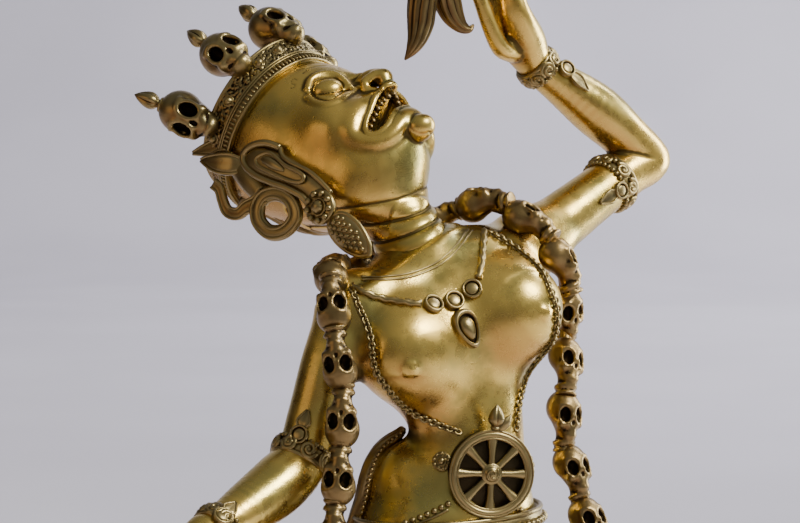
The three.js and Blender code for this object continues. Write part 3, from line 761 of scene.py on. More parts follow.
def right_fingers():
    """Four fingers curled round the knife's handle, and the thumb across them."""
    made = []
    for rise in (7, 2.6, -1.8, -6):
        curl = [(-7, 1, rise), (-3, 6, rise), (4.5, 5, rise), (5.5, -1, rise), (1.5, -4.8, rise)]
        made.append(finger_rows(KNIFE.at(curl), 2.5))
    made.append(finger_rows(KNIFE.at([(-8, -3, 6), (-2, -6, 9), (4, -5, 8)]), 2.7))
    return made


BREASTS = [((30.5, -16.5, 243.5), (15.6, 15.2, 15.2)), ((-5.2, -13.0, 233.0), (14.6, 13.2, 14.6))]
NIPPLES = [(411.3, 369.2), (546.7, 313.1)]  # picture points

# Rounder places at the right shoulder, the left shoulder, the left elbow and the right hip: centre, half
# axes and blend
SWELLS = [
    ((-15.5, -1.5, 247), (10.5, 10, 11), 5),
    ((50, 1.5, 262.5), (13, 10, 10.3), 5),
    ((103.9, 7.2, 286.8), (4.2, 4.2, 4.2), 4),
    ((-0.3, -5.3, 188.3), (11.2, 11, 16.5), 6),
]
SPINE = [(13, 18, 258), (17, 11.5, 240), (19, 5.5, 222), (19.5, 3.2, 207), (16.5, 8.5, 192)]
SHOULDER_BLADES = [(33, 12, 247), (-7, 11, 240)]
COLLARBONES = [
    [(36, -7.5, 262), (24, -9.5, 262), (14, -8, 258.5)],
    [(-12, -8, 252), (0, -9.5, 253.5), (10, -8, 256.5)],
]


def add_neck(field, line):
    """The neck as round spans along a line, blended with what is there."""
    rows = [(*p, radius, radius) for p, radius in zip(line, NECK_RADII)]
    add_limb(field, rows, 24, 4.5, (1, 0, 0))


def level_from(field, spot, along, reach):
    """The part of the field within reach of a spot, and how far its samples lie from a plane there."""
    part, (x, y, z) = field.window(np.asarray(spot) - reach, np.asarray(spot) + reach)
    return part, (x - spot[0]) * along[0] + (y - spot[1]) * along[1] + (z - spot[2]) * along[2]


def shrink_beyond(field, spot, along, reach):
    """The skin drawn in by up to 1.6 mm over the first 1.2 mm beyond a plane, within reach of a spot."""
    part, level = level_from(field, spot, along, reach)
    field.values[part] += 1.6 * np.clip(level / 1.2, 0, 1)


def torso_field():
    """Trunk, breasts, shoulders, arms and hands as one blended field."""
    field = Field((-97, -40, 172), (112, 34, 352), TORSO_PITCH)
    add_stack(field, trunk_rings(60), 0)
    add_neck(field, NECK)
    for centre, reach in BREASTS:
        add_ellipsoid(field, centre, reach, 13, TORSO.basis)
    add_limb(field, [(2, -1, 250, 9, 8), (14, 0, 256, 9, 8), (27, 0, 259, 9, 8)], 9, 6)
    add_limb(field, LEFT_ARM, 60, 7)
    add_limb(field, RIGHT_ARM, 52, 7)
    for centre, reach, blend in SWELLS:
        add_ellipsoid(field, centre, reach, blend)
    for rows in left_fingers() + right_fingers():
        add_limb(field, rows, 14, 1.3)
    cut_line(field, smooth_line(SPINE, 24), 2.0, 6)
    for spot in SHOULDER_BLADES:
        add_ellipsoid(field, spot, (10, 5, 11), 6, TORSO.basis)
    for line in COLLARBONES:
        raise_line(field, smooth_line(line, 10), 1.6, 5)
    cup_room = Place(CUP.origin, -CUP.front, CUP.crown)
    room = (CUP_RADIUS + 0.4, CUP_RADIUS + 0.4, CUP_DEPTH + 0.4)
    cut_ellipsoid(field, CUP.origin, room, 0, cup_room.basis)
    spot, along = kept("head", head_field)[1]["seam"]
    shrink_beyond(field, HEAD.at(spot), along @ HEAD.basis, 34)
    add_nipples(field)
    return field


def add_nipples(field):
    """A small ball in a low ring on each breast."""
    for tip in seen_on(field, NIPPLES, -0.2):
        out = skin_facing(field, tip[None])[0]
        add_ellipsoid(field, tip, 1.4, 0.5)
        a = np.arange(25) * np.pi / 12
        plane = facing_axes((1.0, 0, 0), out)
        halo = tip + 1.9 * (np.cos(a)[:, None] * plane[0] + np.sin(a)[:, None] * plane[1])
        raise_line(field, field.settle(halo), 0.55, 0.5)


def foot_rows(ankle, toes):
    """Stations of a foot from its heel to its toes, measured along the line from ankle to toes."""
    ankle, toes = np.array(ankle, float), np.array(toes, float)
    ahead = unit(toes - ankle)
    rows = [
        (-9, 5, 4.5, 4),
        (-4, 7.5, 6.4, 7.5),
        (8, 7.2, 6.8, 7.2),
        (20, 5, 8, 5),
        (29, 3.6, 8, 3.6),
        (32, 3.2, 6.5, 3.0),
    ]
    return [(*(ankle + ahead * reach), SOLE + height, wide, tall) for reach, height, wide, tall in rows]


# For each toe from the inner one: how far it lies to the outer side of the foot's line, and its length
# from the ankle
TOES = [(-5.4, 32), (-2.3, 34.2), (0.3, 34), (2.9, 32.8), (5.4, 30.6)]


def add_toes(field, ankle, toes):
    """Five toes on a foot, and the bumps on both sides of its ankle."""
    outer = 1 if ankle[0] < 0 else -1
    ankle = np.array(ankle, float)
    ahead = unit(np.array(toes, float) - ankle)
    side = np.array([-ahead[1], ahead[0]])
    for beside, reach in TOES:
        shift = side * (outer * beside)
        base = ankle + ahead * (reach - 8) + shift * 0.9
        tip = ankle + ahead * reach + shift * 1.08
        radius = 2.3 if beside == TOES[0][0] else 1.65
        rows = [(*base, SOLE + 3.4, radius, radius), (*tip, SOLE + radius, radius, radius)]
        add_limb(field, rows, 5, 0.7)
    for way, height in ((1, 55), (-1, 56)):
        add_ellipsoid(field, (*(ankle + way * side * 5.6), height), (2.6, 2.6, 2.8), 2.5)


def leg_field():
    """Hips, legs and feet as one blended field, cut flat under the soles."""
    field = Field((-92, -60, 38), (92, 24, 184), LEG_PITCH)
    rings = trunk_rings(60)
    add_stack(field, rings[rings[:, 2] < 183], 0)
    for rows in (BENT_LEG, STRAIGHT_LEG):
        add_limb(field, rows, 44, 5)
    for spot in ((29, 8, 164), (-3, 9, 164)):
        add_ellipsoid(field, spot, (14, 10, 13), 5)
    for ankle, toes in FEET:
        add_limb(field, foot_rows(ankle, toes), 20, 3, UPRIGHT)
        add_toes(field, ankle, toes)
    layers = field.low[2] + field.pitch * np.arange(field.size[2])
    field.values = np.maximum(field.values, (SOLE - layers).astype(np.float32)[None, None, :])
    return field


# The head, in its own frame: r to her right, f the way the face looks, c up the crown

# Height up the head, half width, reach ahead of and behind the middle
HEAD_SLICES = [
    (-37, 5.5, 5.0, 8),
    (-34.5, 10, 12.6, 9),
    (-31.5, 13.6, 19.4, 10),
    (-28, 16.8, 22.9, 11.5),
    (-24, 18.6, 23.6, 13.5),
    (-19, 19.8, 23.8, 15.5),
    (-13.5, 21, 24.6, 18),
    (-8, 21.7, 25.4, 20.5),
    (-1, 22.3, 27.4, 22.5),
    (5, 22.7, 28.6, 24),
    (12, 23, 27.6, 24.5),
    (18, 22.6, 25.4, 24.3),
    (24, 21.0, 22, 22.3),
    (29.5, 16.4, 17.4, 17.6),
    (33.2, 10.4, 11.2, 11.2),
    (35.0, 4.5, 5, 5),
    (35.4, 1.2, 1.4, 1.4),
]

# Lines of the face as picture points, which are laid on the skin of the head's right side
EYE_EDGE = [
    (310.6, 88), (314, 81), (322, 78), (331, 77.4), (338.5, 79.6), (343, 86), (340, 94), (334, 98),
    (326, 99.6), (315.5, 97),
]
UPPER_LID = [
    (307.5, 89), (310.5, 80.5), (317, 75.2), (327, 72.8), (337, 74.8), (344.5, 80.5), (350, 87),
]
LOWER_LID = [(308.5, 97), (316, 102), (326, 103.8), (336, 101), (344, 96), (352, 91.6), (358.5, 88.6)]
UPPER_LIP = [
    (392.5, 83), (386, 85.6), (380.5, 90.4), (375.4, 97.5), (370.6, 110), (366.6, 121), (365.4, 129),
]
LOWER_LIP = [
    (365.4, 129), (368.5, 133.6), (375, 134), (382, 130.6), (388.4, 123.6), (393, 115), (399.4, 108.6),
    (407, 106.6),
]
LOWER_LIP_END = np.array([0, 28.2, -22.4])
SMILE_ROLL = [
    (364, 93), (361.6, 101), (357.4, 110.5), (352.6, 120), (350.6, 130), (355, 137.4), (366, 142),
    (380, 141.6), (393.6, 134), (403.6, 121.6), (410, 114.6),
]
CHIN_CREASE = [(410.5, 124.6), (413.4, 129.6), (418.4, 132.8), (422.6, 133.8)]
CHIN_CREASE_END = np.array([0, 25.0, -33.2])
BROW_DOTS = [
    (303, 73), (308, 69), (314, 66.6), (322, 65.6), (333, 65.8), (345, 68), (353, 71.2), (358, 75.4),
]
BROW_CURL = [
    (296.5, 80), (294, 78.6), (291.4, 80.4), (292, 83.4), (295, 84.4), (293.6, 87.4), (290.4, 88),
]
EYE_ACROSS = unit([9, -6.9, 5.2])
EYE_OUT = np.array([0.62, 0.72, -0.12])
MOUTH_MIDDLE = np.array([0, 25.0, -19.6])


def mirrored(points, side):
    """Points of the head's right side, or their mirror images on its left side."""
    return np.asarray(points, float) * (side, 1, 1)


def on_face(field, pixels, count, lift=0.0):
    """A smooth line through picture points on the head's right side, in the head's frame."""
    return HEAD.local(seen_on(field, smooth_line(pixels, count), lift, HEAD))


def both_sides(line):
    """A line on the right side with its mirror image. Its ends next to the middle are drawn onto it."""
    line = np.array(line, float)
    for end in (0, -1):
        if abs(line[end, 0]) < 1.5:
            line[end, 0] = 0
    return np.vstack([line, (line * (-1, 1, 1))[::-1]])


def head_base(field):
    """The skull and jaw: slices across the crown direction, ovals with one depth ahead and another
    behind, and the same share of the way between two slices everywhere."""
    rows = smooth_line(HEAD_SLICES, 120)
    part, (r, f, c) = field.window((-30, -34, -46), (30, 36, 36))
    level = c.ravel()
    sizes = [np.interp(level, rows[:, 0], rows[:, k]).astype(np.float32) for k in (1, 2, 3)]
    wide, ahead, behind = (size[None, None, :] for size in sizes)
    across = oval_distance(r, f, 0 * c, wide, np.where(f > 0, ahead, behind), 1.0)
    ends = np.maximum(c - rows[-1, 0], rows[0, 0] - c)
    field.values[part] = np.minimum(field.values[part], np.maximum(across, ends))


def outline_distance(u, w, outline):
    """How far points of a plane lie from a closed outline, less than nothing inside it. A point is inside
    if a line from it crosses the outline an odd number of times."""
    best = np.full(u.shape, 1e9)
    inside = np.zeros(u.shape, bool)
    for a, b in zip(outline, np.roll(outline, -1, 0)):
        span = b - a
        share = np.clip(((u - a[0]) * span[0] + (w - a[1]) * span[1]) / max(span @ span, 1e-9), 0, 1)
        best = np.minimum(best, (u - a[0] - share * span[0]) ** 2 + (w - a[1] - share * span[1]) ** 2)
        if a[1] != b[1]:
            crossing = (a[1] > w) != (b[1] > w)
            inside ^= crossing & (u < a[0] + (w - a[1]) * span[0] / span[1])
    return np.where(inside, -1, 1) * np.sqrt(best)


def open_mouth(field, loop, inset, floor):
    """The mouth hollowed straight back inside its lips, down to a rounded floor."""
    part, (r, f, c) = field.window((-13, floor - 3, -30), (13, 36, -9))
    flat_r, flat_c = (a.reshape(a.shape[0], a.shape[2]) for a in np.broadcast_arrays(r, c))
    across = outline_distance(flat_r, flat_c, loop[:, [0, 2]]) + inset
    room = -blended(-across[:, None, :], -(floor - f), 3.0)
    field.carve(part, room, 0.4)


def carve_eye(field, lines, side):
    """A bulging eyeball with a crisp edge, a thick upper lid, a thin lower one and a deep inner corner."""
    edge, upper, lower = (mirrored(line, side) for line in lines)
    across = mirrored(EYE_ACROSS, side)
    out = square_to(unit(mirrored(EYE_OUT, side)), across)
    axes = np.array([across, np.cross(across, out) * side, out])
    middle = edge.mean(0)
    corner = 0.5 * (upper[-2] + lower[-7])
    cut_ellipsoid(field, corner + 0.4 * out, (2.4, 1.5, 2.6), 0.9, axes)
    cut_line(field, np.vstack([edge, edge[:1]]), 0.6, 0.25)
    cut_ellipsoid(field, middle + 0.3 * out, (4.8, 3.5, 2.4), 0.2, axes)
    add_ellipsoid(field, middle - 0.8 * out, (4.7, 3.4, 3.0), 0.1, axes)
    raise_line(field, upper + 0.2 * out, 0.75, 1.2)
    raise_line(field, lower - 0.25 * out, 0.5, 1.6)


def carve_nose(field):
    """A short upturned nose: bridge, ball at its tip, wings, nostrils and a wrinkle at its root."""
    bridge = [
        (0, 26.2, 1.5, 2.6, 2.6), (0, 28.2, -2.4, 2.6, 2.6), (0, 30.6, -5.8, 2.9, 2.9),
        (0, 32.5, -9.2, 3.0, 2.6),
    ]
    add_limb(field, bridge, 12, 1.8, (0, 1, 0))
    add_limb(field, [(0, 32.2, -9.6, 2.7, 2.4), (0, 30.4, -12.2, 2.7, 2.2)], 6, 1.0, (0, 1, 0))
    wing = [
        (2.4, 32.0, -7.8, 1.7, 1.6), (4.6, 29.2, -7.2, 1.6, 1.5), (4.8, 27.6, -9.2, 1.3, 1.3),
        (3.8, 28.4, -11.8, 1.1, 1.1),
    ]
    for side in (1, -1):
        add_limb(field, np.array(wing) * (side, 1, 1, 1, 1), 9, 0.9, (0, 1, 0))
        cut_ellipsoid(field, (side * 3.3, 30.9, -10.4), (0.9, 1.3, 1.2), 0.3)
    root = np.array([(-3.6, 27.6, -1.2), (0, 31.6, -1.9), (3.6, 27.6, -1.2)])
    cut_line(field, field.settle(smooth_line(root, 12), 0.1, 3), 0.35, 0.7)


def carve_mouth(field, upper, lower, roll):
    """The smile roll, the open mouth, the lips round it and the tongue in it."""
    loop = both_sides(np.vstack([upper, lower[1:]]))
    thick = np.interp(np.linspace(0, 1, len(roll)), (0, 0.15, 0.55, 1), (0.9, 1.5, 1.35, 0.6))
    for side in (1, -1):
        raise_line(field, mirrored(roll, side), thick, 3.6)
    open_mouth(field, loop, 0.35, 14.5)
    raise_line(field, np.vstack([loop, loop[:1]]), 0.85, 0.5)
    add_ellipsoid(field, MOUTH_MIDDLE - (0, 5.4, 1.4), (4.6, 5.4, 1.9), 1.0)


def carve_brow(field, dots, curl):
    """A row of short engraved strokes along the brow, and a small engraved curl at the temple."""
    for side in (1, -1):
        for i in range(0, len(dots) - 2, 2):
            cut_line(field, field.settle(mirrored(dots[i : i + 2], side), 0.1, 3), 0.3, 0.25)
        cut_line(field, field.settle(mirrored(curl, side), 0.1, 3), 0.26, 0.25)


def face_lines(field):
    """The face's lines, laid on the skin as it is before its details are carved."""
    lines = {"eye": [on_face(field, EYE_EDGE + EYE_EDGE[:1], 41)[:-1]]}
    lines["eye"] += [on_face(field, line, 24) for line in (UPPER_LID, LOWER_LID)]
    lines["dots"] = on_face(field, BROW_DOTS, 44)
    lines["curl"] = on_face(field, BROW_CURL, 20)
    lines["upper"] = on_face(field, UPPER_LIP, 24)
    lower = on_face(field, LOWER_LIP, 24)
    lines["lower"] = even_line(np.vstack([lower[lower[:, 0] > 1.6], LOWER_LIP_END]), 24)
    lines["roll"] = on_face(field, SMILE_ROLL, 36, -0.7)
    return lines


def carve_face(field):
    """Cheeks, nose, muzzle, eyes, open mouth, chin and brow. Gives back the lines that they follow."""
    for side in (1, -1):
        add_ellipsoid(field, mirrored((13.0, 15.0, -9.6), side), (6.5, 6.4, 7.0), 10)
        cut_ellipsoid(field, mirrored((8.0, 30.4, -3.0), side), (3.4, 4.0, 2.4), 2.6)
    muzzle = [
        (0, 27.6, -13.2), (5.6, 25.4, -14.2), (9.6, 20.6, -16.4), (11.2, 17.2, -20), (10.6, 17, -24.2),
        (8.0, 20.6, -26.0), (4.6, 24.2, -24.8), (0, 25.7, -23.6),
    ]
    raise_line(field, both_sides(smooth_line(muzzle, 32)), 2.9, 2.4)
    carve_nose(field)
    add_ellipsoid(field, (0, 24.6, -30.0), (4.6, 4.2, 3.4), 1.6)
    lines = face_lines(field)
    carve_mouth(field, lines["upper"], lines["lower"], lines["roll"])
    for side in (1, -1):
        carve_eye(field, lines["eye"], side)
    carve_brow(field, lines["dots"], lines["curl"])
    add_ellipsoid(field, (0, 26.0, -30.6), (3.1, 2.9, 2.7), 1.8)
    crease = np.vstack([on_face(field, CHIN_CREASE, 14, 0.1), CHIN_CREASE_END])
    cut_line(field, both_sides(crease), 0.22, 0.5)
    return lines


# Creases round the neck as picture points, from the one below the chin to the one at the collar
NECK_CREASES = [
    [(370, 204.5), (400, 198), (422, 190.5)],
    [(367, 226), (402, 220), (432, 207.6)],
    [(371, 244), (408, 235.4), (440.4, 218.4)],
    [(371, 263), (412, 254.6), (447.6, 231.6)],
]
CREASE_DEPTHS = (0.75, 1.0, 1.0, 1.2)


def crease_planes(field):
    """For each crease a point on it and the direction along the neck that the crease is square to."""
    planes = []
    for pixels in NECK_CREASES:
        a, b, c = HEAD.local(seen_on(field, pixels, 0.0, HEAD))
        along = unit(np.cross(b - a, c - a))
        planes.append((b, along if along[2] < 0 else -along))
    return planes


def carve_neck(field, planes):
    """A narrow crease in a wide soft one along each plane, which leaves rounded rolls between them."""
    for (spot, along), depth in zip(planes, CREASE_DEPTHS):
        part, level = level_from(field, spot, along, 30)
        dip = 0.62 * np.exp(-((level / 0.5) ** 2)) + 0.55 * np.exp(-((level / 1.9) ** 2))
        field.values[part] += depth * dip


def head_field():
    """The head and neck as one fine field in the head's own frame, and the lines of the face."""
    field = Field((-27, -36, -66), (27, 38, 36), HEAD_PITCH)
    head_base(field)
    add_neck(field, HEAD.local(NECK))
    planes = crease_planes(field)
    lines = carve_face(field)
    carve_neck(field, planes)
    spot, along = planes[-1]
    shrink_beyond(field, spot, along, 40)
    lines["seam"] = (spot, -along)
    return field, lines


def head_skin():
    """The head's skin, wrapped and carried into the common frame."""
    skin = wrapped(kept("head", head_field)[0])
    return moved(skin, HEAD.at(skin.points))


def teeth():
    """Two rows of rounded teeth behind the lips."""
    lines = kept("head", head_field)[1]
    rows = []
    for name, count, drop in (("upper", 17, -1.0), ("lower", 13, 1.0)):
        whole = both_sides(lines[name][::-1] if name == "upper" else lines[name])
        inner = MOUTH_MIDDLE + (whole - MOUTH_MIDDLE) * (0.84, 0.84, 0.78) - (0, 1.6, 0)
        path = even_line(inner, count)
        t = tangents(path)
        up = np.array([0, 0, 1.0])
        one = ball((0, 0, 0), (1.05, 0.95, 1.5), np.eye(3), 5, 9)
        axes = np.stack([t, unit(np.cross(up, t)), np.broadcast_to(up, t.shape)], 1)
        rows.append(copies(one, path + drop * 0.2 * up, axes))
    made = joined(rows)
    return moved(made, HEAD.at(made.points))


# Meshes and finishes

def hollows(surface, rounds, scale):
    """How deep each point lies below its surroundings: the way outwards from the point to the mean of
    its neighbours, over several rounds, as a share of scale, with 0.5 for level ground."""
    flat = smoothed(surface, surface.points, rounds)
    p, q, t = surface.points, surface.quads, surface.triangles
    normal = np.zeros_like(p)
    for corners in (q[:, [0, 1, 2]], q[:, [0, 2, 3]], t):
        face = np.cross(p[corners[:, 1]] - p[corners[:, 0]], p[corners[:, 2]] - p[corners[:, 0]])
        for k in range(3):
            for axis in range(3):
                normal[:, axis] += np.bincount(corners[:, k], face[:, axis], len(p))
    depth = ((flat - p) * unit(normal)).sum(1)
    return np.clip(0.5 + depth / scale, 0, 1)


def mesh_of(name, whole):
    """A smoothly shaded mesh, in metres, of a surface in millimetres."""
    mesh = bpy.data.meshes.new(name)
    mesh.vertices.add(len(whole.points))
    mesh.vertices.foreach_set("co", (whole.points * MM).astype(np.float32).ravel())
    loops = np.concatenate([whole.quads.ravel(), whole.triangles.ravel()]).astype(np.int32)
    mesh.loops.add(len(loops))
    mesh.loops.foreach_set("vertex_index", loops)
    fours = len(whole.quads)
    starts = np.concatenate([np.arange(fours) * 4, fours * 4 + np.arange(len(whole.triangles)) * 3])
    mesh.polygons.add(len(starts))
    mesh.polygons.foreach_set("loop_start", starts.astype(np.int32))
    mesh.update(calc_edges=True)
    mesh.polygons.foreach_set("use_smooth", np.ones(len(starts), bool))
    return mesh


def put(name, surfaces, finish, replaced=(), rounds=6, scale=0.6):
    """A finished piece from surfaces in millimetres, with its hollows kept as an attribute."""
    whole = joined(surfaces) if isinstance(surfaces, list) else surfaces
    mesh = mesh_of(name, whole)
    layer = mesh.attributes.new("hollow", "FLOAT", "POINT")
    layer.data.foreach_set("value", hollows(whole, rounds, scale).astype(np.float32))
    if mesh.validate():
        raise RuntimeError(f"{name} has faces that are not sound")
    made = bpy.data.objects.new(name, mesh)
    bpy.context.scene.collection.objects.link(made)
    mesh.materials.append(finish)
    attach(made, BODY)
    if replaced:
        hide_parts(*replaced)


class Nodes:
    """Short calls for building a material's nodes."""

    def __init__(self, name):
        self.material = bpy.data.materials.new(name)
        self.material.use_nodes = True
        self.tree = self.material.node_tree
        self.tree.nodes.clear()
        self.out = self.tree.nodes.new("ShaderNodeOutputMaterial")

    def add(self, kind, inputs=None, **settings):
        """A node with its settings, and with each named input set to a number or joined to a socket."""
        node = self.tree.nodes.new(kind)
        for key, value in settings.items():
            setattr(node, key, value)
        for key, value in (inputs or {}).items():
            if isinstance(value, bpy.types.NodeSocket):
                self.tree.links.new(value, node.inputs[key])
            else:
                node.inputs[key].default_value = value
        return node

    def spot(self):
        """Object coordinates, in metres."""
        return self.add("ShaderNodeTexCoord").outputs["Object"]

    def noise(self, scale, detail, rough):
        """Cloudy noise between 0 and 1 on object coordinates."""
        inputs = {"Vector": self.spot(), "Scale": scale, "Detail": detail, "Roughness": rough}
        return self.add("ShaderNodeTexNoise", inputs).outputs["Fac"]

    def ramp(self, value, low, high, to_low=0.0, to_high=1.0):
        """A value carried from one range to another, held at the ends."""
        inputs = {
            "Value": value, "From Min": low, "From Max": high, "To Min": to_low, "To Max": to_high,
        }
        return self.add("ShaderNodeMapRange", inputs, interpolation_type="SMOOTHSTEP").outputs["Result"]

    def math(self, kind, a, b):
        """One sum on two values."""
        return self.add("ShaderNodeMath", {0: a, 1: b}, operation=kind).outputs[0]

    def mix(self, share, a, b):
        """Two colours mixed."""
        node = self.tree.nodes.new("ShaderNodeMix")
        node.data_type = "RGBA"
        for socket, value in zip((node.inputs[0], node.inputs[6], node.inputs[7]), (share, a, b)):
            if isinstance(value, bpy.types.NodeSocket):
                self.tree.links.new(value, socket)
            elif socket.type == "RGBA":
                socket.default_value = (*tuple(value)[:3], 1.0)
            else:
                socket.default_value = value
        return node.outputs[2]

    def facing(self, direction):
        """How far the surface faces a fixed direction of the statue, from -1 to 1."""
        normal = self.add("ShaderNodeNewGeometry").outputs["Normal"]
        inputs = {0: normal, 1: tuple(unit(direction))}
        return self.add("ShaderNodeVectorMath", inputs, operation="DOT_PRODUCT").outputs["Value"]


# How many cells of each noise there are in a metre
CLOUDS = 34
STAINS = 150
GRAINS = 1900
PITS = 420.0
WORN_PATCHES = 95


def brass(name, bright, mid, warm, dark, rough, grime, pits):
    """Cast brass. Its colour drifts between a bright and a middle tone in clouds, and a warm tone is
    painted reflection where the surface faces down, to her right and to the front. Its hollows hold dark
    wax and grime and its high places are rubbed bright, and fine grain and sparse pits roughen it."""
    n = Nodes(name)
    hollow = n.add("ShaderNodeAttribute", attribute_name="hollow").outputs["Fac"]
    drift = n.noise(CLOUDS, 3, 0.6)
    stain = n.noise(STAINS, 4, 0.65)
    grain = n.noise(GRAINS, 2, 0.5)
    # Painted reflection: the warm tone goes where faces turn down, to her right and forward, in clouds.
    painted_reflection = n.math("ADD", n.facing((-0.55, -0.25, -0.75)), n.math("MULTIPLY", drift, 0.7))
    tone = n.mix(n.ramp(drift, 0.38, 0.62), bright, mid)
    tone = n.mix(n.ramp(painted_reflection, 0.55, 1.15), tone, warm)
    tone = n.mix(n.ramp(n.math("MULTIPLY", stain, hollow), 0.24, 0.42, 0.0, 0.45), tone, mid)
    deep = n.ramp(n.math("ADD", hollow, n.math("MULTIPLY", stain, 0.16)), 0.59, 0.98 - grime * 0.2)
    tone = n.mix(n.math("MULTIPLY", deep, grime), tone, dark)
    rubbed = n.ramp(hollow, 0.47, 0.25, 0.0, 0.5)
    tone = n.mix(rubbed, tone, bright)
    uneven = n.ramp(stain, 0.3, 0.75, rough - 0.05, rough + 0.09)
    roughness = n.math("ADD", uneven, n.math("MULTIPLY", deep, 0.22))
    cells = n.add("ShaderNodeTexVoronoi", {"Vector": n.spot(), "Scale": PITS}, feature="F1")
    pit = n.ramp(cells.outputs["Distance"], 0.08, 0.2, -1.0, 0.0)
    rare = n.ramp(n.noise(WORN_PATCHES, 2, 0.5), 0.56, 0.64)
    pitted = n.math("MULTIPLY", n.math("MULTIPLY", pit, rare), pits)
    height = n.math("ADD", n.math("MULTIPLY", grain, 0.35), pitted)
    height = n.math("ADD", height, n.math("MULTIPLY", stain, 0.5))
    bump = n.add("ShaderNodeBump", {"Strength": 0.35, "Distance": 0.00025, "Height": height})
    inputs = {
        "Base Color": tone,
        "Metallic": 1.0,
        "Roughness": roughness,
        "Normal": bump.outputs["Normal"],
    }
    shader = n.add("ShaderNodeBsdfPrincipled", inputs)
    n.tree.links.new(shader.outputs[0], n.out.inputs["Surface"])
    return n.material


def plaster(name, colour):
    """A matt painted wall and floor, very slightly uneven."""
    n = Nodes(name)
    tone = n.mix(n.ramp(n.noise(2.5, 2, 0.5), 0.3, 0.7), colour, [c * 0.93 for c in colour])
    bump = n.add("ShaderNodeBump", {"Strength": 0.1, "Distance": 0.001, "Height": n.noise(60, 3, 0.5)})
    inputs = {"Base Color": tone, "Roughness": 0.9, "Normal": bump.outputs["Normal"]}
    shader = n.add("ShaderNodeBsdfPrincipled", inputs)
    n.tree.links.new(shader.outputs[0], n.out.inputs["Surface"])
    return n.material


def finish(name):
    """The finish that a group of tones in the panel gives, made once."""
    tones = getattr(bpy.context.scene.dakini, name)
    colours = [tuple(tones.bright), tuple(tones.mid), tuple(tones.warm), tuple(tones.dark)]
    full_name = "brass_" + name
    return kept(full_name, lambda: brass(full_name, *colours, tones.roughness, tones.grime, tones.pits))


# Camera, lights and stage

SUNNY_SIDE = 0.62 * RIGHT + 0.72 * UP + 0.3 * BACK
SKY = (1.0, 0.96, 0.90)
DUSK = (0.12, 0.072, 0.04)
SUNLIGHT = (1.0, 0.94, 0.84)
GLOW = (1.0, 0.70, 0.42)
BACKLIGHT = (1.0, 0.97, 0.9)
PALE_VIOLET = (0.935, 0.915, 1.0)


def put_camera():
    """The camera at the photograph's angle, with POINT_WIDTH of the statue to a picture point."""
    data = bpy.data.cameras.new("camera")
    data.sensor_width = SENSOR_WIDTH
    data.lens = SENSOR_WIDTH * DISTANCE / (PICTURE_WIDTH * POINT_WIDTH)
    data.clip_start = 0.01
    camera = bpy.data.objects.new("camera", data)
    place = Matrix.Identity(4)
    for column, axis in enumerate((RIGHT, UP, BACK)):
        for row in range(3):
            place[row][column] = axis[row]
    place.translation = Vector((TARGET + DISTANCE * BACK) * MM)
    camera.matrix_world = place
    bpy.context.scene.collection.objects.link(camera)
    bpy.context.scene.camera = camera


def put_light(name, offset, size, power, colour, aim_at=(0, 0, 0)):
    """A soft square light at an offset (right, up, back) from the middle, facing another offset."""
    data = bpy.data.lights.new(name, "AREA")
    data.shape = "RECTANGLE"
    data.size, data.size_y = size[0] * MM, size[1] * MM
    data.energy = power
    data.color = colour
    light = bpy.data.objects.new(name, data)
    spot = TARGET + offset[0] * RIGHT + offset[1] * UP + offset[2] * BACK
    light.location = Vector(spot * MM)
    goal = TARGET + aim_at[0] * RIGHT + aim_at[1] * UP + aim_at[2] * BACK
    aim = Vector(goal - spot)
    light.rotation_euler = aim.to_track_quat("-Z", "Y").to_euler()
    bpy.context.scene.collection.objects.link(light)


def put_stage(colour):
    """A floor that curves up into a wall behind the statue: a straight run, a quarter circle and a
    straight rise, carried sideways."""
    back = unit(BACK * (1, 1, 0))
    bend, depth, half_width, height = 1400.0, 4600.0, 5200, 5200
    a = np.linspace(0, np.pi / 2, 16)
    run = np.r_[
        depth, np.linspace(3000, -depth + bend, 10), -depth + bend - bend * np.sin(a)[1:], -depth,
    ]
    rise = np.r_[0, np.zeros(10), bend - bend * np.cos(a)[1:], height]
    across = np.linspace(-half_width, half_width, 15)
    points = (
        run[:, None, None] * back
        + across[None, :, None] * RIGHT
        + rise[:, None, None] * np.array([0, 0, 1.0])
    )
    rows, cols = points.shape[:2]
    index = np.arange(rows * cols).reshape(rows, cols)
    corners = [index[:-1, :-1], index[:-1, 1:], index[1:, 1:], index[1:, :-1]]
    quads = np.stack(corners, -1).reshape(-1, 4)
    mesh = bpy.data.meshes.new("floor")
    mesh.from_pydata((points.reshape(-1, 3) * MM).tolist(), [], quads.tolist())
    mesh.polygons.foreach_set("use_smooth", np.ones(len(quads), bool))
    mesh.materials.append(plaster("pale_plaster", colour))
    stage = bpy.data.objects.new("floor", mesh)
    bpy.context.scene.collection.objects.link(stage)


def put_world(bright, dim, strength):
    """A soft surround that is bright towards the upper right and dims evenly to a warm dusk opposite."""
    world = bpy.data.worlds.new("studio")
    world.use_nodes = True
    tree = world.node_tree
    way = tree.nodes.new("ShaderNodeTexCoord").outputs["Generated"]
    dot = tree.nodes.new("ShaderNodeVectorMath")
    dot.operation = "DOT_PRODUCT"
    tree.links.new(way, dot.inputs[0])
    dot.inputs[1].default_value = tuple(unit(SUNNY_SIDE))
    ramp = tree.nodes.new("ShaderNodeMapRange")
    ramp.interpolation_type = "SMOOTHSTEP"
    ramp.inputs["From Min"].default_value = -0.75
    ramp.inputs["From Max"].default_value = 0.95
    tree.links.new(dot.outputs["Value"], ramp.inputs["Value"])
    mix = tree.nodes.new("ShaderNodeMix")
    mix.data_type = "RGBA"
    tree.links.new(ramp.outputs["Result"], mix.inputs[0])
    mix.inputs[6].default_value = (*dim, 1)
    mix.inputs[7].default_value = (*bright, 1)
    background = tree.nodes["Background"]
    tree.links.new(mix.outputs[2], background.inputs["Color"])
    background.inputs["Strength"].default_value = strength
    bpy.context.scene.world = world


def size_of(name):
    """A length from the panel, in millimetres."""
    return getattr(bpy.context.scene.dakini.sizes, name) / MM


# Skulls

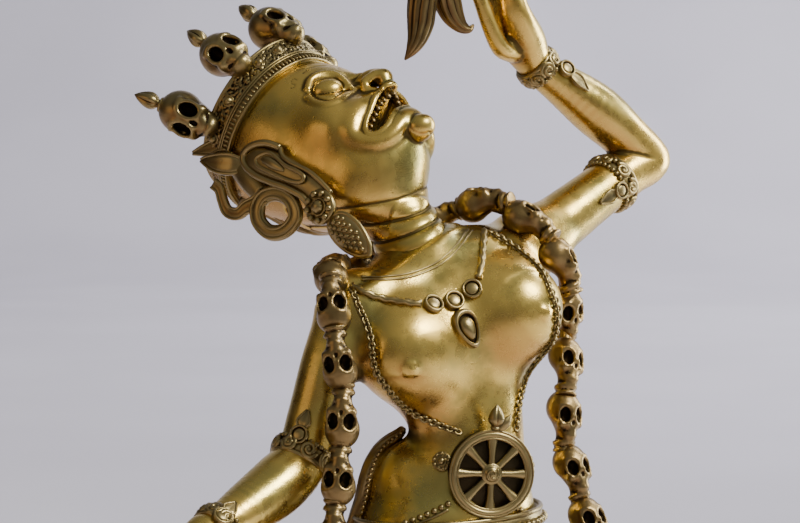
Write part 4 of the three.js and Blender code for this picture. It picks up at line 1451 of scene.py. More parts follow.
def skull_surface(pitch, ribs):
    """A small skull in its own frame, z up its dome and x the way it faces, about 11 across and 13 high
    from dome to jaw. Blended ovals, with rimmed sockets, brows that meet in a V, nose and grin cut in,
    and ribs on the neck below."""
    field = Field((-7.5, -7.5, -10.6), (8, 7.5, 8.4), pitch)
    add_ellipsoid(field, (-0.3, 0, 2.6), (5.7, 5.5, 5.2), 1)
    add_ellipsoid(field, (1.3, 0, -1.6), (4.2, 4.2, 4.2), 1.6)
    add_ellipsoid(field, (2.1, 0, -4.9), (3.3, 2.9, 2.3), 0.8)
    for side in (1, -1):
        add_ellipsoid(field, (2.9, side * 3.7, -2.2), (1.7, 1.1, 1.2), 0.9)
        eye = np.array((4.25, side * 2.5, 0.4))
        out = unit((1, side * 0.46, 0.08))
        a = np.arange(19) * np.pi / 9
        plane = facing_axes(UPRIGHT, out)
        rim = eye + 0.2 * out + 2.6 * np.cos(a)[:, None] * plane[0] + 2.15 * np.sin(a)[:, None] * plane[1]
        raise_line(field, rim, 0.55, 0.5)
        brow = [(5.0, side * 0.3, 1.9), (4.7, side * 2.4, 3.3), (3.3, side * 4.3, 3.2)]
        raise_line(field, smooth_line(brow, 8), 0.5, 0.8)
        cut_ellipsoid(field, eye + 0.5 * out, (2.7, 2.2, 1.8), 0.2, np.array([out, plane[0], plane[1]]))
    cut_ellipsoid(field, (5.5, 0, -1.9), (1.1, 0.7, 1.0), 0.25)
    grin = [(3.2, 3.0, -4.0), (4.7, 1.8, -4.5), (5.4, 0, -4.7), (4.7, -1.8, -4.5), (3.2, -3.0, -4.0)]
    cut_line(field, smooth_line(grin, 14), 0.42, 0.25)
    if ribs:
        add_limb(field, [(0.3, 0, -4, 2.7, 2.7), (0, 0, -10, 2.7, 2.7)], 4, 0.6, (1, 0, 0))
        for z in (-7.0, -8.0, -9.0, -10.0):
            add_ellipsoid(field, (0.2, 0, z), (3.9, 3.9, 0.6), 0.2)
    return wrapped(field)


GARLAND_LINE = [
    (38.5, -4, 272.5), (44.5, -13.5, 265.5), (49, -18, 254), (52.5, -14.5, 240), (48.5, -20, 223),
    (46, -23, 206), (47, -29, 188), (48, -38, 170), (46, -46, 150), (38, -48, 130), (25, -45, 113),
    (8, -41, 104), (-9, -39, 108), (-22, -37, 122), (-31, -34, 141), (-35.5, -29, 160),
    (-36.5, -25, 180), (-34, -23, 200), (-31.5, -21, 220), (-31.5, -17.5, 238), (-27.5, -8.5, 252.5),
    (-18, 6.5, 255.5), (-6, 17, 254), (6, 22.5, 253), (17, 23, 258.5), (26.5, 16, 268), (33, 6, 274),
]


def garland_places():
    """Where each skull of the garland sits: the middle of its share of the line, the way it faces and
    the way its dome points, which is back along the line."""
    line = smooth_line(GARLAND_LINE, len(GARLAND_LINE) * 40, True)
    closed = np.vstack([line, line[:1]])
    run = np.r_[0, np.cumsum(np.linalg.norm(np.diff(closed, axis=0), axis=1))]
    skulls = bpy.context.scene.dakini.sizes.garland_skulls
    stops = (np.arange(skulls) + 0.42) * run[-1] / skulls
    centres = np.stack([np.interp(stops, run, column) for column in closed.T], 1)
    ahead = np.stack([np.interp(stops + 1.5, run, column) for column in closed.T], 1)
    behind = np.stack([np.interp(stops - 1.5, run, column) for column in closed.T], 1)
    t = unit(ahead - behind)
    outward_way = (centres - (45, 0, 0)) * (0.6, 0, 0) - (0, 60, 0)
    round_neck = centres[:, 2] > 248
    outward_way[round_neck] = centres[round_neck] - (12, 0, 190)
    return centres, square_to(outward_way, t), -t


def garland():
    """The skulls of the garland and the cord that they are strung on."""
    centres, face, dome = garland_places()
    one = kept("garland_skull", lambda: skull_surface(GARLAND_PITCH, True))
    axes = np.stack([face, np.cross(dome, face), dome], 1) * [[0.94], [0.92], [1.06]]
    line = smooth_line(GARLAND_LINE, len(GARLAND_LINE) * 8, True)
    return [copies(one, centres, axes), tube(line, 2.0, None, FORWARD, 8, True)]


# Crown

# Angles round the crown in degrees, and how far a skull leans out, from the middle one outwards
SKULL_ANGLES = (-87, -41, 7, 53, 96)
SKULL_LEANS = (0.06, 0.12, 0.62)
STUD_ANGLES = (-128, -104, -76, -44, -20, 27, 44, 76, 104, 128)
CROWN_LOW = 16.6
CROWN_HIGH = 28.0


def crown_ring(c, grow, count=120):
    """Points round the crown at a height: an oval that leans out at the front and in at the back."""
    share = (c - 16) / 12
    a = full_turn(count)
    front = 0.5 + 0.5 * np.cos(a)
    half_wide = 24.4 - 1.2 * share + 1.6 * share * front + grow
    half_deep = 25.6 - 2.0 * share + (1.4 + 4.4 * share) * front + grow
    return np.stack([half_wide * np.sin(a), half_deep * np.cos(a), np.full(count, float(c))], 1)


def speckle(rows, cols, size, seed):
    """Smooth random grain on a grid that joins up sideways: random numbers blurred over size cells."""
    grain = np.random.default_rng(seed).random((rows, cols))
    wave = np.fft.fft2(grain - grain.mean())
    across = np.fft.fftfreq(cols)[None, :]
    along = np.fft.fftfreq(rows)[:, None]
    blur = np.real(np.fft.ifft2(wave * np.exp(-2 * (np.pi * size) ** 2 * (across**2 + along**2))))
    return blur / np.abs(blur).max()


def crown_band():
    """The circlet: an oval wall with fine grain between thin rims, and short ribs below the grain."""
    count = 620
    heights = np.r_[CROWN_LOW, np.linspace(17.4, 27.6, 38), CROWN_HIGH]
    grain = speckle(len(heights), count, 0.85, 5)
    grained = np.clip(np.minimum(heights - 20.6, 27.4 - heights) / 0.6, 0, 1)
    grow = (0.36 * np.clip(grain * 1.9, -0.6, 1) - 0.15) * grained[:, None]
    outer = np.stack([crown_ring(c, 0, count) for c in heights])
    centre = outer * UPRIGHT
    outer = centre + (outer - centre) * (1 + grow / 26)[..., None]
    inner = np.stack([crown_ring(CROWN_HIGH, -2.4, count), crown_ring(CROWN_LOW, -2.0, count)])
    wall = grid(np.concatenate([outer, inner]), True)
    made = [moved(wall, HEAD.at(wall.points))]
    rims = [(CROWN_HIGH, 0.6, -0.3), (20.7, 0.34, 0.2), (19.8, 0.34, 0.2), (16.7, 0.5, 0.1)]
    for c, thick, grown in rims:
        line = HEAD.at(crown_ring(c, grown))
        made.append(tube(line, thick, None, HEAD.crown, 8, True))
    ribs = crown_ring(18.3, 0.25, 116)
    across = tangents(ribs, True) @ HEAD.basis
    axes = facing_axes(across, np.broadcast_to(HEAD.crown, across.shape))
    made.append(copies(ball((0, 0, 0), (0.46, 0.62, 1.15), np.eye(3), 5, 8), HEAD.at(ribs), axes))
    return made


def crown_studs():
    """Domed studs on the circlet, between the skulls."""
    made = []
    profile = [
        (1.9, -0.8), (1.9, 0.1), (1.6, 0.4), (1.45, 0.15), (1.35, 0.5), (1.0, 1.1), (0.5, 1.45),
        (0.05, 1.55),
    ]
    dome = turned(profile, 18)
    for degrees in STUD_ANGLES:
        a = math.radians(degrees)
        spot = crown_ring(24.2, 0.0, 720)[round(degrees * 2)]
        out = unit([math.sin(a) / 25.6, math.cos(a) / 28.3, -0.008])
        axes = facing_axes(HEAD.crown, out @ HEAD.basis)
        made.append(copies(dome, HEAD.at(spot), axes))
    return made


def bud(length, radius, splits=3):
    """A closed bud on z: a profile that swells and comes to a point, creased splits times round."""
    profile = [
        (0.45, 0), (0.62, 0.08), (0.5, 0.16), (0.8, 0.26), (1.0, 0.42), (0.86, 0.62), (0.5, 0.83),
        (0.12, 0.97), (0.02, 1.0),
    ]
    rows = smooth_line(np.array(profile) * (radius, length), 22)

    def creased(a, row):
        fade = np.clip((row - 4) / 6, 0, 1)
        return 1 - 0.3 * fade * (1 - np.abs(np.sin(splits * a / 2))) ** 3

    return turned(rows, 24, creased)


def crown_skulls():
    """Five skulls standing on the circlet, facing out, each with a collar and a bud on its dome."""
    made = []
    one = kept("crown_skull", lambda: skull_surface(CROWN_PITCH, False))
    scale = np.array([[1.22], [1.22], [1.36]])
    for i, degrees in zip(range(-2, 3), SKULL_ANGLES):
        a = math.radians(degrees)
        out = HEAD.front * math.cos(a) + HEAD.right * math.sin(a)
        rise = unit(HEAD.crown + SKULL_LEANS[abs(i)] * out)
        foot = HEAD.at(crown_ring(27, -1.0, 720)[round(degrees * 2)])
        axes = facing_axes(out, rise)
        made.append(copies(one, foot + rise * 7.2, axes * scale))
        stem = [(*(foot - rise), 2.8, 2.8), (*(foot + rise * 2), 3.0, 3.2)]
        made.append(strand(stem, 5, out, 14))
        made.append(copies(bud(9.6, 2.8, 5), foot + rise * 16.8, axes))
        made.append(ring(foot + rise * 17.4, rise, 1.9, 0.6, 20, 7))
    return made


# Ears, their ornaments and the ribbons behind them

def on_side(side, rows):
    """Rows (r, f, c, ...) of the head's frame on one side of it, in the common frame."""
    rows = np.asarray(rows, float)
    points = HEAD.at(rows[:, :3] * (side, 1, 1))
    return np.hstack([points, rows[:, 3:]])


def rosette(radius):
    """A ball in a ring of small balls, on z."""
    a = full_turn(9)
    spots = np.stack([radius * 0.76 * np.cos(a), radius * 0.76 * np.sin(a), np.full(9, 1.5)], 1)
    rows = [(0.7, -1.6), (1, -0.6), (1.02, 0.6), (0.93, 1.3), (0.5, 0.9), (0.05 / radius, 0.8)]
    plate = turned([(radius * r, h) for r, h in rows], 24)
    dome = ball((0, 0, 1.4), (radius * 0.4, radius * 0.4, radius * 0.34))
    rim = ring((0, 0, 1.2), UPRIGHT, radius * 0.47, 0.4, 20, 6)
    small = ball((0, 0, 0), radius * 0.2, np.eye(3), 5, 9)
    return joined([plate, dome, rim, copies(small, spots, np.eye(3))])


def cone_drop(length, radius):
    """A pine cone drop hanging along -z and facing x: an almond with a smooth raised border, set with
    rounded seeds in rows on both faces."""
    outline = [(0.42, 0), (0.84, -0.14), (1.0, -0.38), (0.9, -0.62), (0.55, -0.86), (0.04, -1.0)]
    rows = smooth_line(outline, 24) * (radius, length)
    line = np.stack([0 * rows[:, 0], 0 * rows[:, 0], rows[:, 1]], 1)
    made = [tube(line, rows[:, 0], rows[:, 0] * 0.42, (1, 0, 0), 20)]
    edge = [np.stack([0 * rows[:, 0], side * rows[:, 0] * 0.96, rows[:, 1]], 1) for side in (1, -1)]
    border = np.vstack([edge[0], edge[1][::-1]])
    made.append(tube(border, 0.75, None, (1, 0, 0), 8, True))
    step = 1.75
    for row in range(int(length / (step * 0.86))):
        z = -step * 0.86 * (row + 1)
        half = np.interp(-z, -rows[:, 1], rows[:, 0]) - 1.3
        for k in range(-3, 4):
            y = (k + (0.5 if row % 2 else 0)) * step
            if abs(y) < half:
                x = 0.42 * math.sqrt(max(0.05, (half + 1.3) ** 2 - y**2))
                for side in (1, -1):
                    made.append(ball((side * x, y, z), (0.75, 0.82, 0.84), np.eye(3), 5, 9))
    return joined(made)


def beside_head(rows):
    """Rows (picture x, picture y, r, ...) as rows (r, f, c, ...) of the head's frame: the place where the
    line of sight through the picture point meets the plane r."""
    rows = np.asarray(rows, float)
    eye, way = sight(rows[:, :2])
    start, along = HEAD.local(eye), way @ HEAD.basis.T
    run = (rows[:, 2] - start[:, 0]) / along[:, 0]
    return np.hstack([start + run[:, None] * along, rows[:, 3:]])


# Each row is a picture point, how far it lies to the side of the head's middle, and on a strand its half
# width and half depth
EAR_PLATE = [
    (245.5, 156.5, 22.4, 2.6, 2.0), (254, 160, 23.6, 4.8, 2.4), (264, 163.6, 24.0, 5.4, 2.5),
    (282, 171.5, 24.0, 5.0, 2.5), (302, 182, 23.6, 4.4, 2.4), (317, 194, 23.2, 4.2, 2.2),
    (324, 207, 22.6, 3.6, 2.0),
]
EAR_RIM = [
    (280, 148, 24.4), (268.8, 143.6, 25.4), (258, 143.6, 25.8), (248.6, 147.8, 25.8),
    (243.6, 155.4, 25.4), (245, 165, 25.6), (254, 174.2, 26.0), (268.8, 181.4, 26.2),
    (286, 187.6, 26.2), (301, 195.6, 25.8), (309, 204, 25.0),
]
EAR_FRONT = [
    (280, 148, 24.4), (282.6, 156, 25.6), (293, 163.8, 25.8), (309, 171.6, 25.4), (321, 181.8, 24.8),
    (331, 193, 24.0),
]
EAR_INNER = [
    (264.5, 153.2, 26.0), (256.2, 158.6, 26.2), (258.4, 166, 26.4), (271, 172.6, 26.6),
    (289, 180.6, 26.6), (300.6, 181.8, 26.4), (303.8, 176.8, 26.2), (297.6, 171.2, 26.4),
    (285, 165, 26.4), (277.2, 158.2, 26.2), (271, 153.2, 26.0),
]
EAR_LUMP = [
    (261.6, 159.2, 26.0, 0.6, 0.5), (267, 161, 26.2, 1.5, 0.9), (275, 165.4, 26.4, 1.5, 1.0),
    (284, 170.6, 26.2, 0.6, 0.5),
]
ROSETTE_SPOT = (320.9, 207.2, 24.4)
DROP_ENDS = [(332.6, 218.6, 24.0), (369.4, 254.6, 20.6)]
RIBBON_LOOP = [
    (259, 206, 24.6), (259.6, 221, 24.6), (270.4, 232.4, 24.6), (285.6, 230.4, 24.6), (296, 217, 24.6),
    (292, 202, 24.6), (279.7, 193.6, 24.4), (266.7, 195.6, 24.4),
]
RIBBON_TAIL = [
    (214.6, 183.6, 25.4, 1.7, 1.4), (220.4, 189.4, 25.4, 1.6, 1.4), (223.4, 200, 25.2, 1.6, 1.4),
    (228.4, 211, 25.0, 1.8, 1.4), (238.6, 214, 25.0, 1.9, 1.5), (247.4, 207.4, 24.8, 2.2, 1.5),
    (257, 203.6, 24.6, 2.6, 1.6), (266, 196, 24.0, 2.6, 1.6),
]
RIBBON_KNOT = [(238, 168, 20.6, 3.2, 2.2), (250, 180, 21.6, 4.0, 2.4), (262, 194, 22.0, 3.4, 2.2)]
RIBBON_LEAVES = [
    [
        (242, 165.5, 21.6, 2.4, 1.8), (231, 164.4, 23.2, 3.5, 2.0), (219.6, 163.4, 23.8, 3.3, 1.8),
        (208.6, 161.4, 23.8, 1.9, 1.2), (201.6, 160.2, 23.6, 0.4, 0.4),
    ],
    [
        (233, 150, 20.6, 2.6, 1.6), (221, 147.4, 21.4, 3.0, 1.6), (207, 149.8, 21.6, 2.0, 1.2),
        (193.6, 153.2, 21.4, 0.4, 0.4),
    ],
    [(233, 158, 21.6, 1.6, 1.4), (222, 155, 22.4, 1.8, 1.2), (211, 156, 22.6, 0.4, 0.4)],
]


def side_of_head(side):
    """Ear with two ridges, rosette, pine cone drop, and ribbon loop, tail, leaves and knot on one side."""
    out = HEAD.right * side

    def carried(rows, count=0, looped=False):
        placed = on_side(side, beside_head(rows))
        return smooth_line(placed, count, looped) if count else placed

    made = [strand(carried(EAR_PLATE), 44, out, 20)]
    made.append(tube(carried(EAR_RIM, 60), 1.15, None, out, 9))
    made.append(tube(carried(EAR_FRONT, 36), 0.85, None, out, 8))
    made.append(tube(carried(EAR_INNER, 60, True), 0.72, None, out, 8, True))
    made.append(strand(carried(EAR_LUMP), 16, out, 10))
    made.append(copies(rosette(5.4), carried([ROSETTE_SPOT])[0], facing_axes(HEAD.crown, out)))
    top, end = carried(DROP_ENDS)
    drop = cone_drop(np.linalg.norm(top - end), 4.7)
    made.append(copies(drop, top, facing_axes(out, top - end)))
    loop = carried(RIBBON_LOOP, 48, True)
    middle = loop.mean(0)
    made.append(tube(loop, 2.5, 1.5, out, 14, True))
    for share in (1.26, 0.8):
        made.append(tube(middle + (loop - middle) * share + 1.0 * out, 0.6, None, out, 8, True))
    made += bordered(carried(RIBBON_TAIL), 44, out, 0.45)
    for rows in RIBBON_LEAVES:
        made += bordered(carried(rows), 26, out, 0.5)
    made.append(strand(carried(RIBBON_KNOT), 14, out, 14))
    return made


def bordered(stations, count, facing, border):
    """A flat ribbon or petal through stations, hollowed along its middle, with a raised border."""
    rows = smooth_line(stations, count)
    t = tangents(rows[:, :3])
    along = square_to(np.broadcast_to(np.asarray(facing, float), t.shape), t)
    across = np.cross(t, along)

    def dished(a, place):
        return 1 - 0.42 * np.exp(-(((a - np.pi / 2) / 0.7) ** 2)) + 0 * place

    wide = np.maximum(rows[:, 3], 0.3)
    deep = np.maximum(rows[:, 4], 0.3)
    made = [tube(rows[:, :3], wide, deep, facing, 18, False, dished)]
    for side in (1, -1):
        edge = rows[:, :3] + side * (wide * 0.84)[:, None] * across + (deep * 0.55)[:, None] * along
        made.append(tube(edge, border, None, facing, 8))
    return made


# Hair

HAIR = [
    (*HEAD.at(0, -10, 12), 18, 13), (*HEAD.at(0, -12, -5), 10.5, 7), (9, 40, 272, 8, 5),
    (16, 38.5, 266, 9, 5), (24.5, 33, 255, 10.5, 5), (25.5, 18, 242, 10.5, 5),
    (25.3, 10.2, 229.3, 10.5, 5), (24.8, 4.5, 214.4, 10, 5), (23.5, 1.6, 202.6, 10, 5),
    (23.1, 5, 189.8, 11, 5), (24, 11.4, 177.7, 11, 4), (23, 14.5, 163.2, 4, 2),
]


def hair():
    """A combed fall of hair down her back, and the cap that it grows from. The fall's oval is fluted by
    0.96 + 0.075 |cos(8 a + turn)| + 0.03 cos(5 a - turn), and each turn grows down its length."""

    def locks(a, place):
        return 1 + 0.075 * np.abs(np.cos(8 * a + 5 * place)) - 0.04 + 0.03 * np.cos(5 * a - 3 * place)

    return [strand(HAIR, 150, (0.0, 1.0, 0.2), 96, locks), *hair_cap()]


def hair_cap():
    """Hair combed up from the circlet to a small knot on the crown. The cap's radius is fluted by
    1 + 0.05 |cos 15 a|, and the knot's by 1 + 0.12 |cos 5 a|, turning as it rises."""

    def combed(a, row):
        return 1 + 0.05 * np.abs(np.cos(15 * a)) * np.clip(row / 8, 0, 1) - 0.02

    def wound(a, row):
        return 1 + 0.12 * np.abs(np.cos(5 * a + 0.12 * row)) - 0.06

    cap = smooth_line([(22.4, 19), (22.3, 24), (19.4, 29.4), (14.4, 33.2), (8.6, 35.4), (0.1, 36)], 34)
    knot = smooth_line([(4.6, -2), (6.2, 1.6), (6.6, 4.2), (5.2, 7.6), (2.6, 9.6), (0.1, 10.2)], 26)
    axes = HEAD.basis * [[1.0], [1.03], [1.0]]
    made = [copies(turned(cap, 150, combed), HEAD.at(0, -0.6, 0), axes)]
    made.append(copies(turned(knot, 70, wound), HEAD.at(0, -3, 35), HEAD.basis))
    made.append(ring(HEAD.at(0, -3, 35.4), HEAD.crown, 6.0, 0.9, 40, 8))
    return made


# Jewellery on the skin

def shoulder_field():
    """The torso's field, which jewellery is laid on."""
    return kept("torso_field", torso_field)


def lay(pixels, lift, count):
    """A smooth line through picture points, laid on the torso's skin."""
    rough = seen_on(shoulder_field(), smooth_line(pixels, count), lift)
    for _ in range(2):
        middle = rough.copy()
        middle[1:-1] = (rough[:-2] + rough[2:] + 2 * rough[1:-1]) / 4
        rough = shoulder_field().settle(middle, lift, 2)
    return even_line(rough, count)


NECKLACE_LEFT = [(351, 285), (359, 290), (378, 297), (398, 301), (421, 304)]
NECKLACE_RIGHT = [(478, 278), (481, 266), (483, 248), (484.5, 231)]
BEZELS = [(433, 304.7), (453.7, 301), (471.8, 289.4)]
COLLAR = [(361, 278), (383, 278), (405, 276), (425, 270), (442, 261), (457, 247), (470, 230)]
CHAIN_RIGHT = [
    (490, 232), (513, 245), (540, 268), (551, 290), (557, 306), (558, 322), (553, 341), (541, 359),
    (527, 380), (520, 401), (517, 428),
]
CHAIN_LEFT = [
    (352, 290), (358, 304.7), (370, 334.6), (374.8, 368.3), (391.7, 394.4), (410.3, 412.2),
    (434.6, 423.4), (458, 432),
]


def chain(line, size):
    """A chain of oval links laid along a line on the skin. Each is a small ring, longer along the line,
    and turned about it by 0.62, to one side and the other in turn."""
    step = 1.5 * size
    count = max(4, int(round(line_length(line) / step)))
    spots = even_line(line, count)
    t = tangents(spots)
    out = skin_facing(shoulder_field(), spots)
    axes = facing_axes(out, t)
    turn = np.where(np.arange(count) % 2, 0.62, -0.62)[:, None]
    across = np.cross(t, axes[:, 0])
    face = np.cos(turn) * axes[:, 0] + np.sin(turn) * across
    link = ring((0, 0, 0), UPRIGHT, size, 0.44 * size, 10, 6)
    return copies(link, spots, np.stack([1.15 * t, np.cross(face, t), face], 1))


def setting(radius):
    """A round setting on z: a thick rim, a deep groove and a flat polished stone."""
    rows = [
        (0.95, -0.9), (1.0, 0.1), (0.97, 0.9), (0.86, 1.15), (0.75, 0.95),
        (0.72, 0.1), (0.65, 0.1), (0.6, 0.75), (0.45, 0.95), (0.02, 1.0),
    ]
    return turned([(radius * r, h) for r, h in rows], 28)


def necklaces():
    """Twisted chains on the skin, three settings in a row at the throat and a teardrop below them."""
    field = shoulder_field()
    made = []
    for pixels, count in ((NECKLACE_LEFT, 40), (NECKLACE_RIGHT, 30)):
        made.append(rope(lay(pixels, 0.4, count), 1.05, 9))
    for pixels, count in ((CHAIN_RIGHT, 90), (CHAIN_LEFT, 80)):
        made.append(chain(lay(pixels, 0.45, count), 0.86))
    collar = lay(COLLAR, 0.1, 70)
    t = tangents(collar)
    down = np.cross(t, skin_facing(field, collar))
    for shift in (-0.6, 0.6):
        made.append(tube(field.settle(collar + shift * down, 0.15), 0.34, None, FORWARD, 8))
    spots = seen_on(field, BEZELS, 0.3)
    for spot, out in zip(spots, skin_facing(field, spots)):
        made.append(copies(setting(3.1), spot + 0.3 * out, facing_axes(UPRIGHT, out)))
    spot = seen_on(field, [(467, 329)], 0.2)
    out = skin_facing(field, spot)[0]
    down = square_to(seen_on(field, [(473.5, 348)], 0.2)[0] - spot[0], out)
    side = np.cross(out, down)
    axes = np.stack([down, side, out])
    made.append(copies(teardrop(6.2, 3.9, 2.1), spot[0], axes))
    return made


def teardrop(length, radius, height):
    """A drop shape on z with its point along x: a rim, a groove and a domed stone. Its outline is
    (length cos a, radius sin a (1 - 0.32 cos a))."""
    a = full_turn(36)
    x, y = length * np.cos(a), radius * np.sin(a) * (1 - 0.32 * np.cos(a))
    rows = [
        (0.97, -0.8), (1.0, 0.0), (0.98, 0.5), (0.86, 0.8), (0.74, 0.62), (0.66, 0.2), (0.58, 0.55),
        (0.44, 0.95), (0.24, 1.15), (0.05, 1.2),
    ]
    rows = smooth_line(rows, 24)
    points = np.stack([np.stack([x * s, y * s, np.full_like(x, h * height)], 1) for s, h in rows])
    return grid(points)


def bracelet(stations, share, width):
    """A bracelet round a limb: a plain rim, a beaded rim and between them scrolls with a ball in each."""
    rows = smooth_line(stations, 240)
    t = tangents(rows[:, :3])
    i = int(round(share * (len(rows) - 1)))
    centre, axis = rows[i, :3], t[i]
    radius = 0.5 * (rows[i, 3] + rows[i, 4])
    x = square_to((0, -1, 0.2), axis)
    y = np.cross(axis, x)

    def circle(grow, shift, count=48):
        b = full_turn(count)
        ways = np.cos(b)[:, None] * x + np.sin(b)[:, None] * y
        return centre + axis * shift + (radius + grow) * ways

    made = [tube(circle(0.1, 0), 0.6, width * 0.42, axis, 12, True)]
    made.append(tube(circle(0.5, width / 2), 0.8, None, axis, 8, True))
    made.append(beads(circle(0.5, -width / 2), 0.85, True))
    lumps = 9
    for k in range(lumps):
        b = 2 * np.pi * (k + 0.5) / lumps
        out = np.cos(b) * x + np.sin(b) * y
        side = np.cross(axis, out)
        spot = centre + out * (radius + 0.7)
        made.append(curl(spot, out, side, axis, width * 0.52, 1 if k % 2 else -1))
        made.append(ball(spot + side * 0.2, (1.1, 1.1, 1.0), np.stack([side, axis, out]), 6, 10))
    return made


# Picture points of each setting on the arms, and of the tip of the leaf beside it
ARM_SETTINGS = [
    ((619.3, 190.5), (600, 203)), ((565.7, 69.4), (588, 90.6)), ((300, 435), (308, 410)),
    ((221, 518), (236, 503)),
]


def arm_settings():
    """A round setting on each bracelet's shoulder side, with a pointed leaf that lies on the arm."""
    field = shoulder_field()
    made = []
    for centre, tip in ARM_SETTINGS:
        spots = seen_on(field, [centre, tip], 0.3)
        out = skin_facing(field, spots)
        along = unit(spots[1] - spots[0])
        made.append(copies(setting(2.9), spots[0] + 0.5 * out[0], facing_axes(along, out[0])))
        half = field.settle(spots[:1] + (spots[1] - spots[0]) * 0.55, 0.5)[0]
        leaf = [
            (*(spots[0] + along * 2.4 + out[0] * 0.3), 1.5, 0.9), (*half, 2.3, 1.1),
            (*spots[1], 0.3, 0.3),
        ]
        made += bordered(leaf, 16, out[0], 0.38)
    return made


def curl(spot, out, side, up, size, hand):
    """A small scroll: a tube whose radius of turn shrinks as it goes round, standing on a surface."""
    a = np.linspace(0, 3.4 * np.pi, 26)
    reach = size * (1 - 0.75 * a / a[-1])
    line = spot + (reach * np.cos(a) * hand)[:, None] * side + (reach * np.sin(a))[:, None] * up
    line = line + (0.7 * a / a[-1])[:, None] * out
    return tube(line, 0.8 - 0.2 * a / a[-1], None, out, 7)


# Wheel, belt, apron and sash

# Picture points of the flowers beside the wheel and of the straps below it
WHEEL_FLOWERS = [(442, 461.7), (528, 465.4)]
STRAPS = [
    [(448, 504), (432, 512), (416, 519), (405, 523)], [(517, 508), (530, 515), (543, 520), (556, 524)],
]
WHEEL_AXES = np.stack([-BELLY.right, BELLY.crown, BELLY.front])


def wheel_point(x, y, z):
    """Points of the wheel's frame, x to the picture's right, y up and z out of its face."""
    rows = np.broadcast_arrays(-np.asarray(x, float), np.asarray(z, float), np.asarray(y, float))
    return BELLY.at(np.stack(rows, -1))


def wheel_shade_plate():
    """A dark plate of painted shade that shows between the spokes, with a wall behind it down to the skin.
    """
    radius = size_of("wheel_radius")
    plate = turned([(radius - 0.6, -6.0), (radius - 0.6, -1.2), (radius - 1.2, -0.9), (0.05, -0.9)], 40)
    return [copies(plate, BELLY.origin, WHEEL_AXES)]


def wheel_rim(radius):
    """The flat rim with a raised border at each edge, and eight spokes that widen outwards."""
    a = full_turn(72)
    made = []
    borders = [
        (radius - 1.3, 0.1, 1.35, 1.15), (radius - 0.2, 0.75, 0.42, 0.42),
        (radius - 2.4, 0.75, 0.4, 0.4),
    ]
    for reach, z, wide, deep in borders:
        line = wheel_point(reach * np.cos(a), reach * np.sin(a), z)
        made.append(tube(line, deep, wide, BELLY.front, 14, True))
    spoke = np.array([(2.4, 1.15), (5.0, 1.1), (8.0, 1.35), (11.2, 1.9)])
    for b in full_turn(8):
        line = wheel_point(spoke[:, 0] * math.cos(b), spoke[:, 0] * math.sin(b), 0.0)
        stations = np.hstack([line, spoke[:, 1:], np.full((len(spoke), 1), 1.15)])
        made.append(strand(stations, 14, BELLY.front, 10))
    return made


def wheel_hub():
    """The hub, and a swirl of two curls on it."""
    profile = [(3.1, -3), (3.3, 0.6), (3.0, 1.3), (2.5, 1.1), (2.3, 1.5), (1.5, 2.1), (0.05, 2.3)]
    made = [copies(turned(profile, 24), BELLY.origin, WHEEL_AXES)]
    b = np.linspace(0, 1.3 * np.pi, 14)
    reach = 0.5 + 1.5 * b / b[-1]
    for turn in (0, np.pi):
        line = wheel_point(reach * np.cos(b + turn), reach * np.sin(b + turn), 2.3 - 0.45 * b / b[-1])
        made.append(tube(line, 0.36, None, BELLY.front, 7))
    return made


def wheel_crest(radius):
    """A bud with one leaf on top of the wheel."""
    top = wheel_point(0.6, radius + 0.1, 0.4)
    rise = unit(BELLY.crown + 0.1 * BELLY.front)
    side = -BELLY.right
    leaf = [
        (*(top + side * 1.2), 1.3, 1.0),
        (*(top + side * 3.0 + rise * 2.4), 1.6, 1.1),
        (*(top + side * 4.4 + rise * 4.6), 0.2, 0.2),
    ]
    crest = copies(bud(7.6, 2.5), top, facing_axes(BELLY.front, rise))
    return [crest, strand(leaf, 12, BELLY.front, 10)]


def wheel_sides():
    """A flower at each side of the wheel, and two beaded straps to the belt with a cord under each."""
    field = shoulder_field()
    made = []
    spots = field.settle(seen_on(field, WHEEL_FLOWERS, 0.3), 0.3)
    for spot, out in zip(spots, skin_facing(field, spots)):
        made.append(copies(rosette(2.9), spot, facing_axes(UPRIGHT, out)))
    for pixels in STRAPS:
        line = lay(pixels, 0.6, 30)
        made.append(beads(line, 1.0))
        made.append(tube(line - (0, 0, 1.7), 0.5, None, FORWARD, 8))
    return made


def wheel():
    """An eight-spoked wheel on the belly, with its crest, flowers and straps."""
    radius = size_of("wheel_radius")
    return wheel_rim(radius) + wheel_hub() + wheel_crest(radius) + wheel_sides()


# Middle and half axes of the oval round the hips at the belt
HIPS = (13.6, -8.4)
HIP_WIDTH = 29.6
HIP_DEPTH = 20.6


def round_hips(a, grow, z):
    """Points of an oval round the hips, grown all round."""
    x = HIPS[0] + (HIP_WIDTH + grow) * np.cos(a)
    y = HIPS[1] - (HIP_DEPTH + grow) * np.sin(a)
    return np.stack([x, y, z + 0 * x], 1)


def belt_line(z_shift, grow):
    """A closed line round the hips at the belt, a little outside the trunk's oval."""
    a = full_turn(160)
    return round_hips(a, grow, 180.0 + z_shift + 0.5 * np.cos(a))


def belt():
    """A beaded belt round the hips, between two thin rims."""
    made = [tube(belt_line(0, 0.2), 1.4, 3.2, UPRIGHT, 12, True)]
    for z in (-3.2, 3.2):
        made.append(tube(belt_line(z, 0.9), 0.8, None, UPRIGHT, 8, True))
    made.append(beads(belt_line(0, 1.9), 1.35, True))
    return made


# The pendant in the middle of the apron
PENDANT = [
    (14, -30.4, 180, 7.5, 2.2), (14, -31.0, 172, 6.6, 2.4), (14, -29.0, 160, 4.4, 2.2),
    (14, -24.6, 148, 2.0, 1.6), (14, -23, 143, 0.3, 0.3),
]


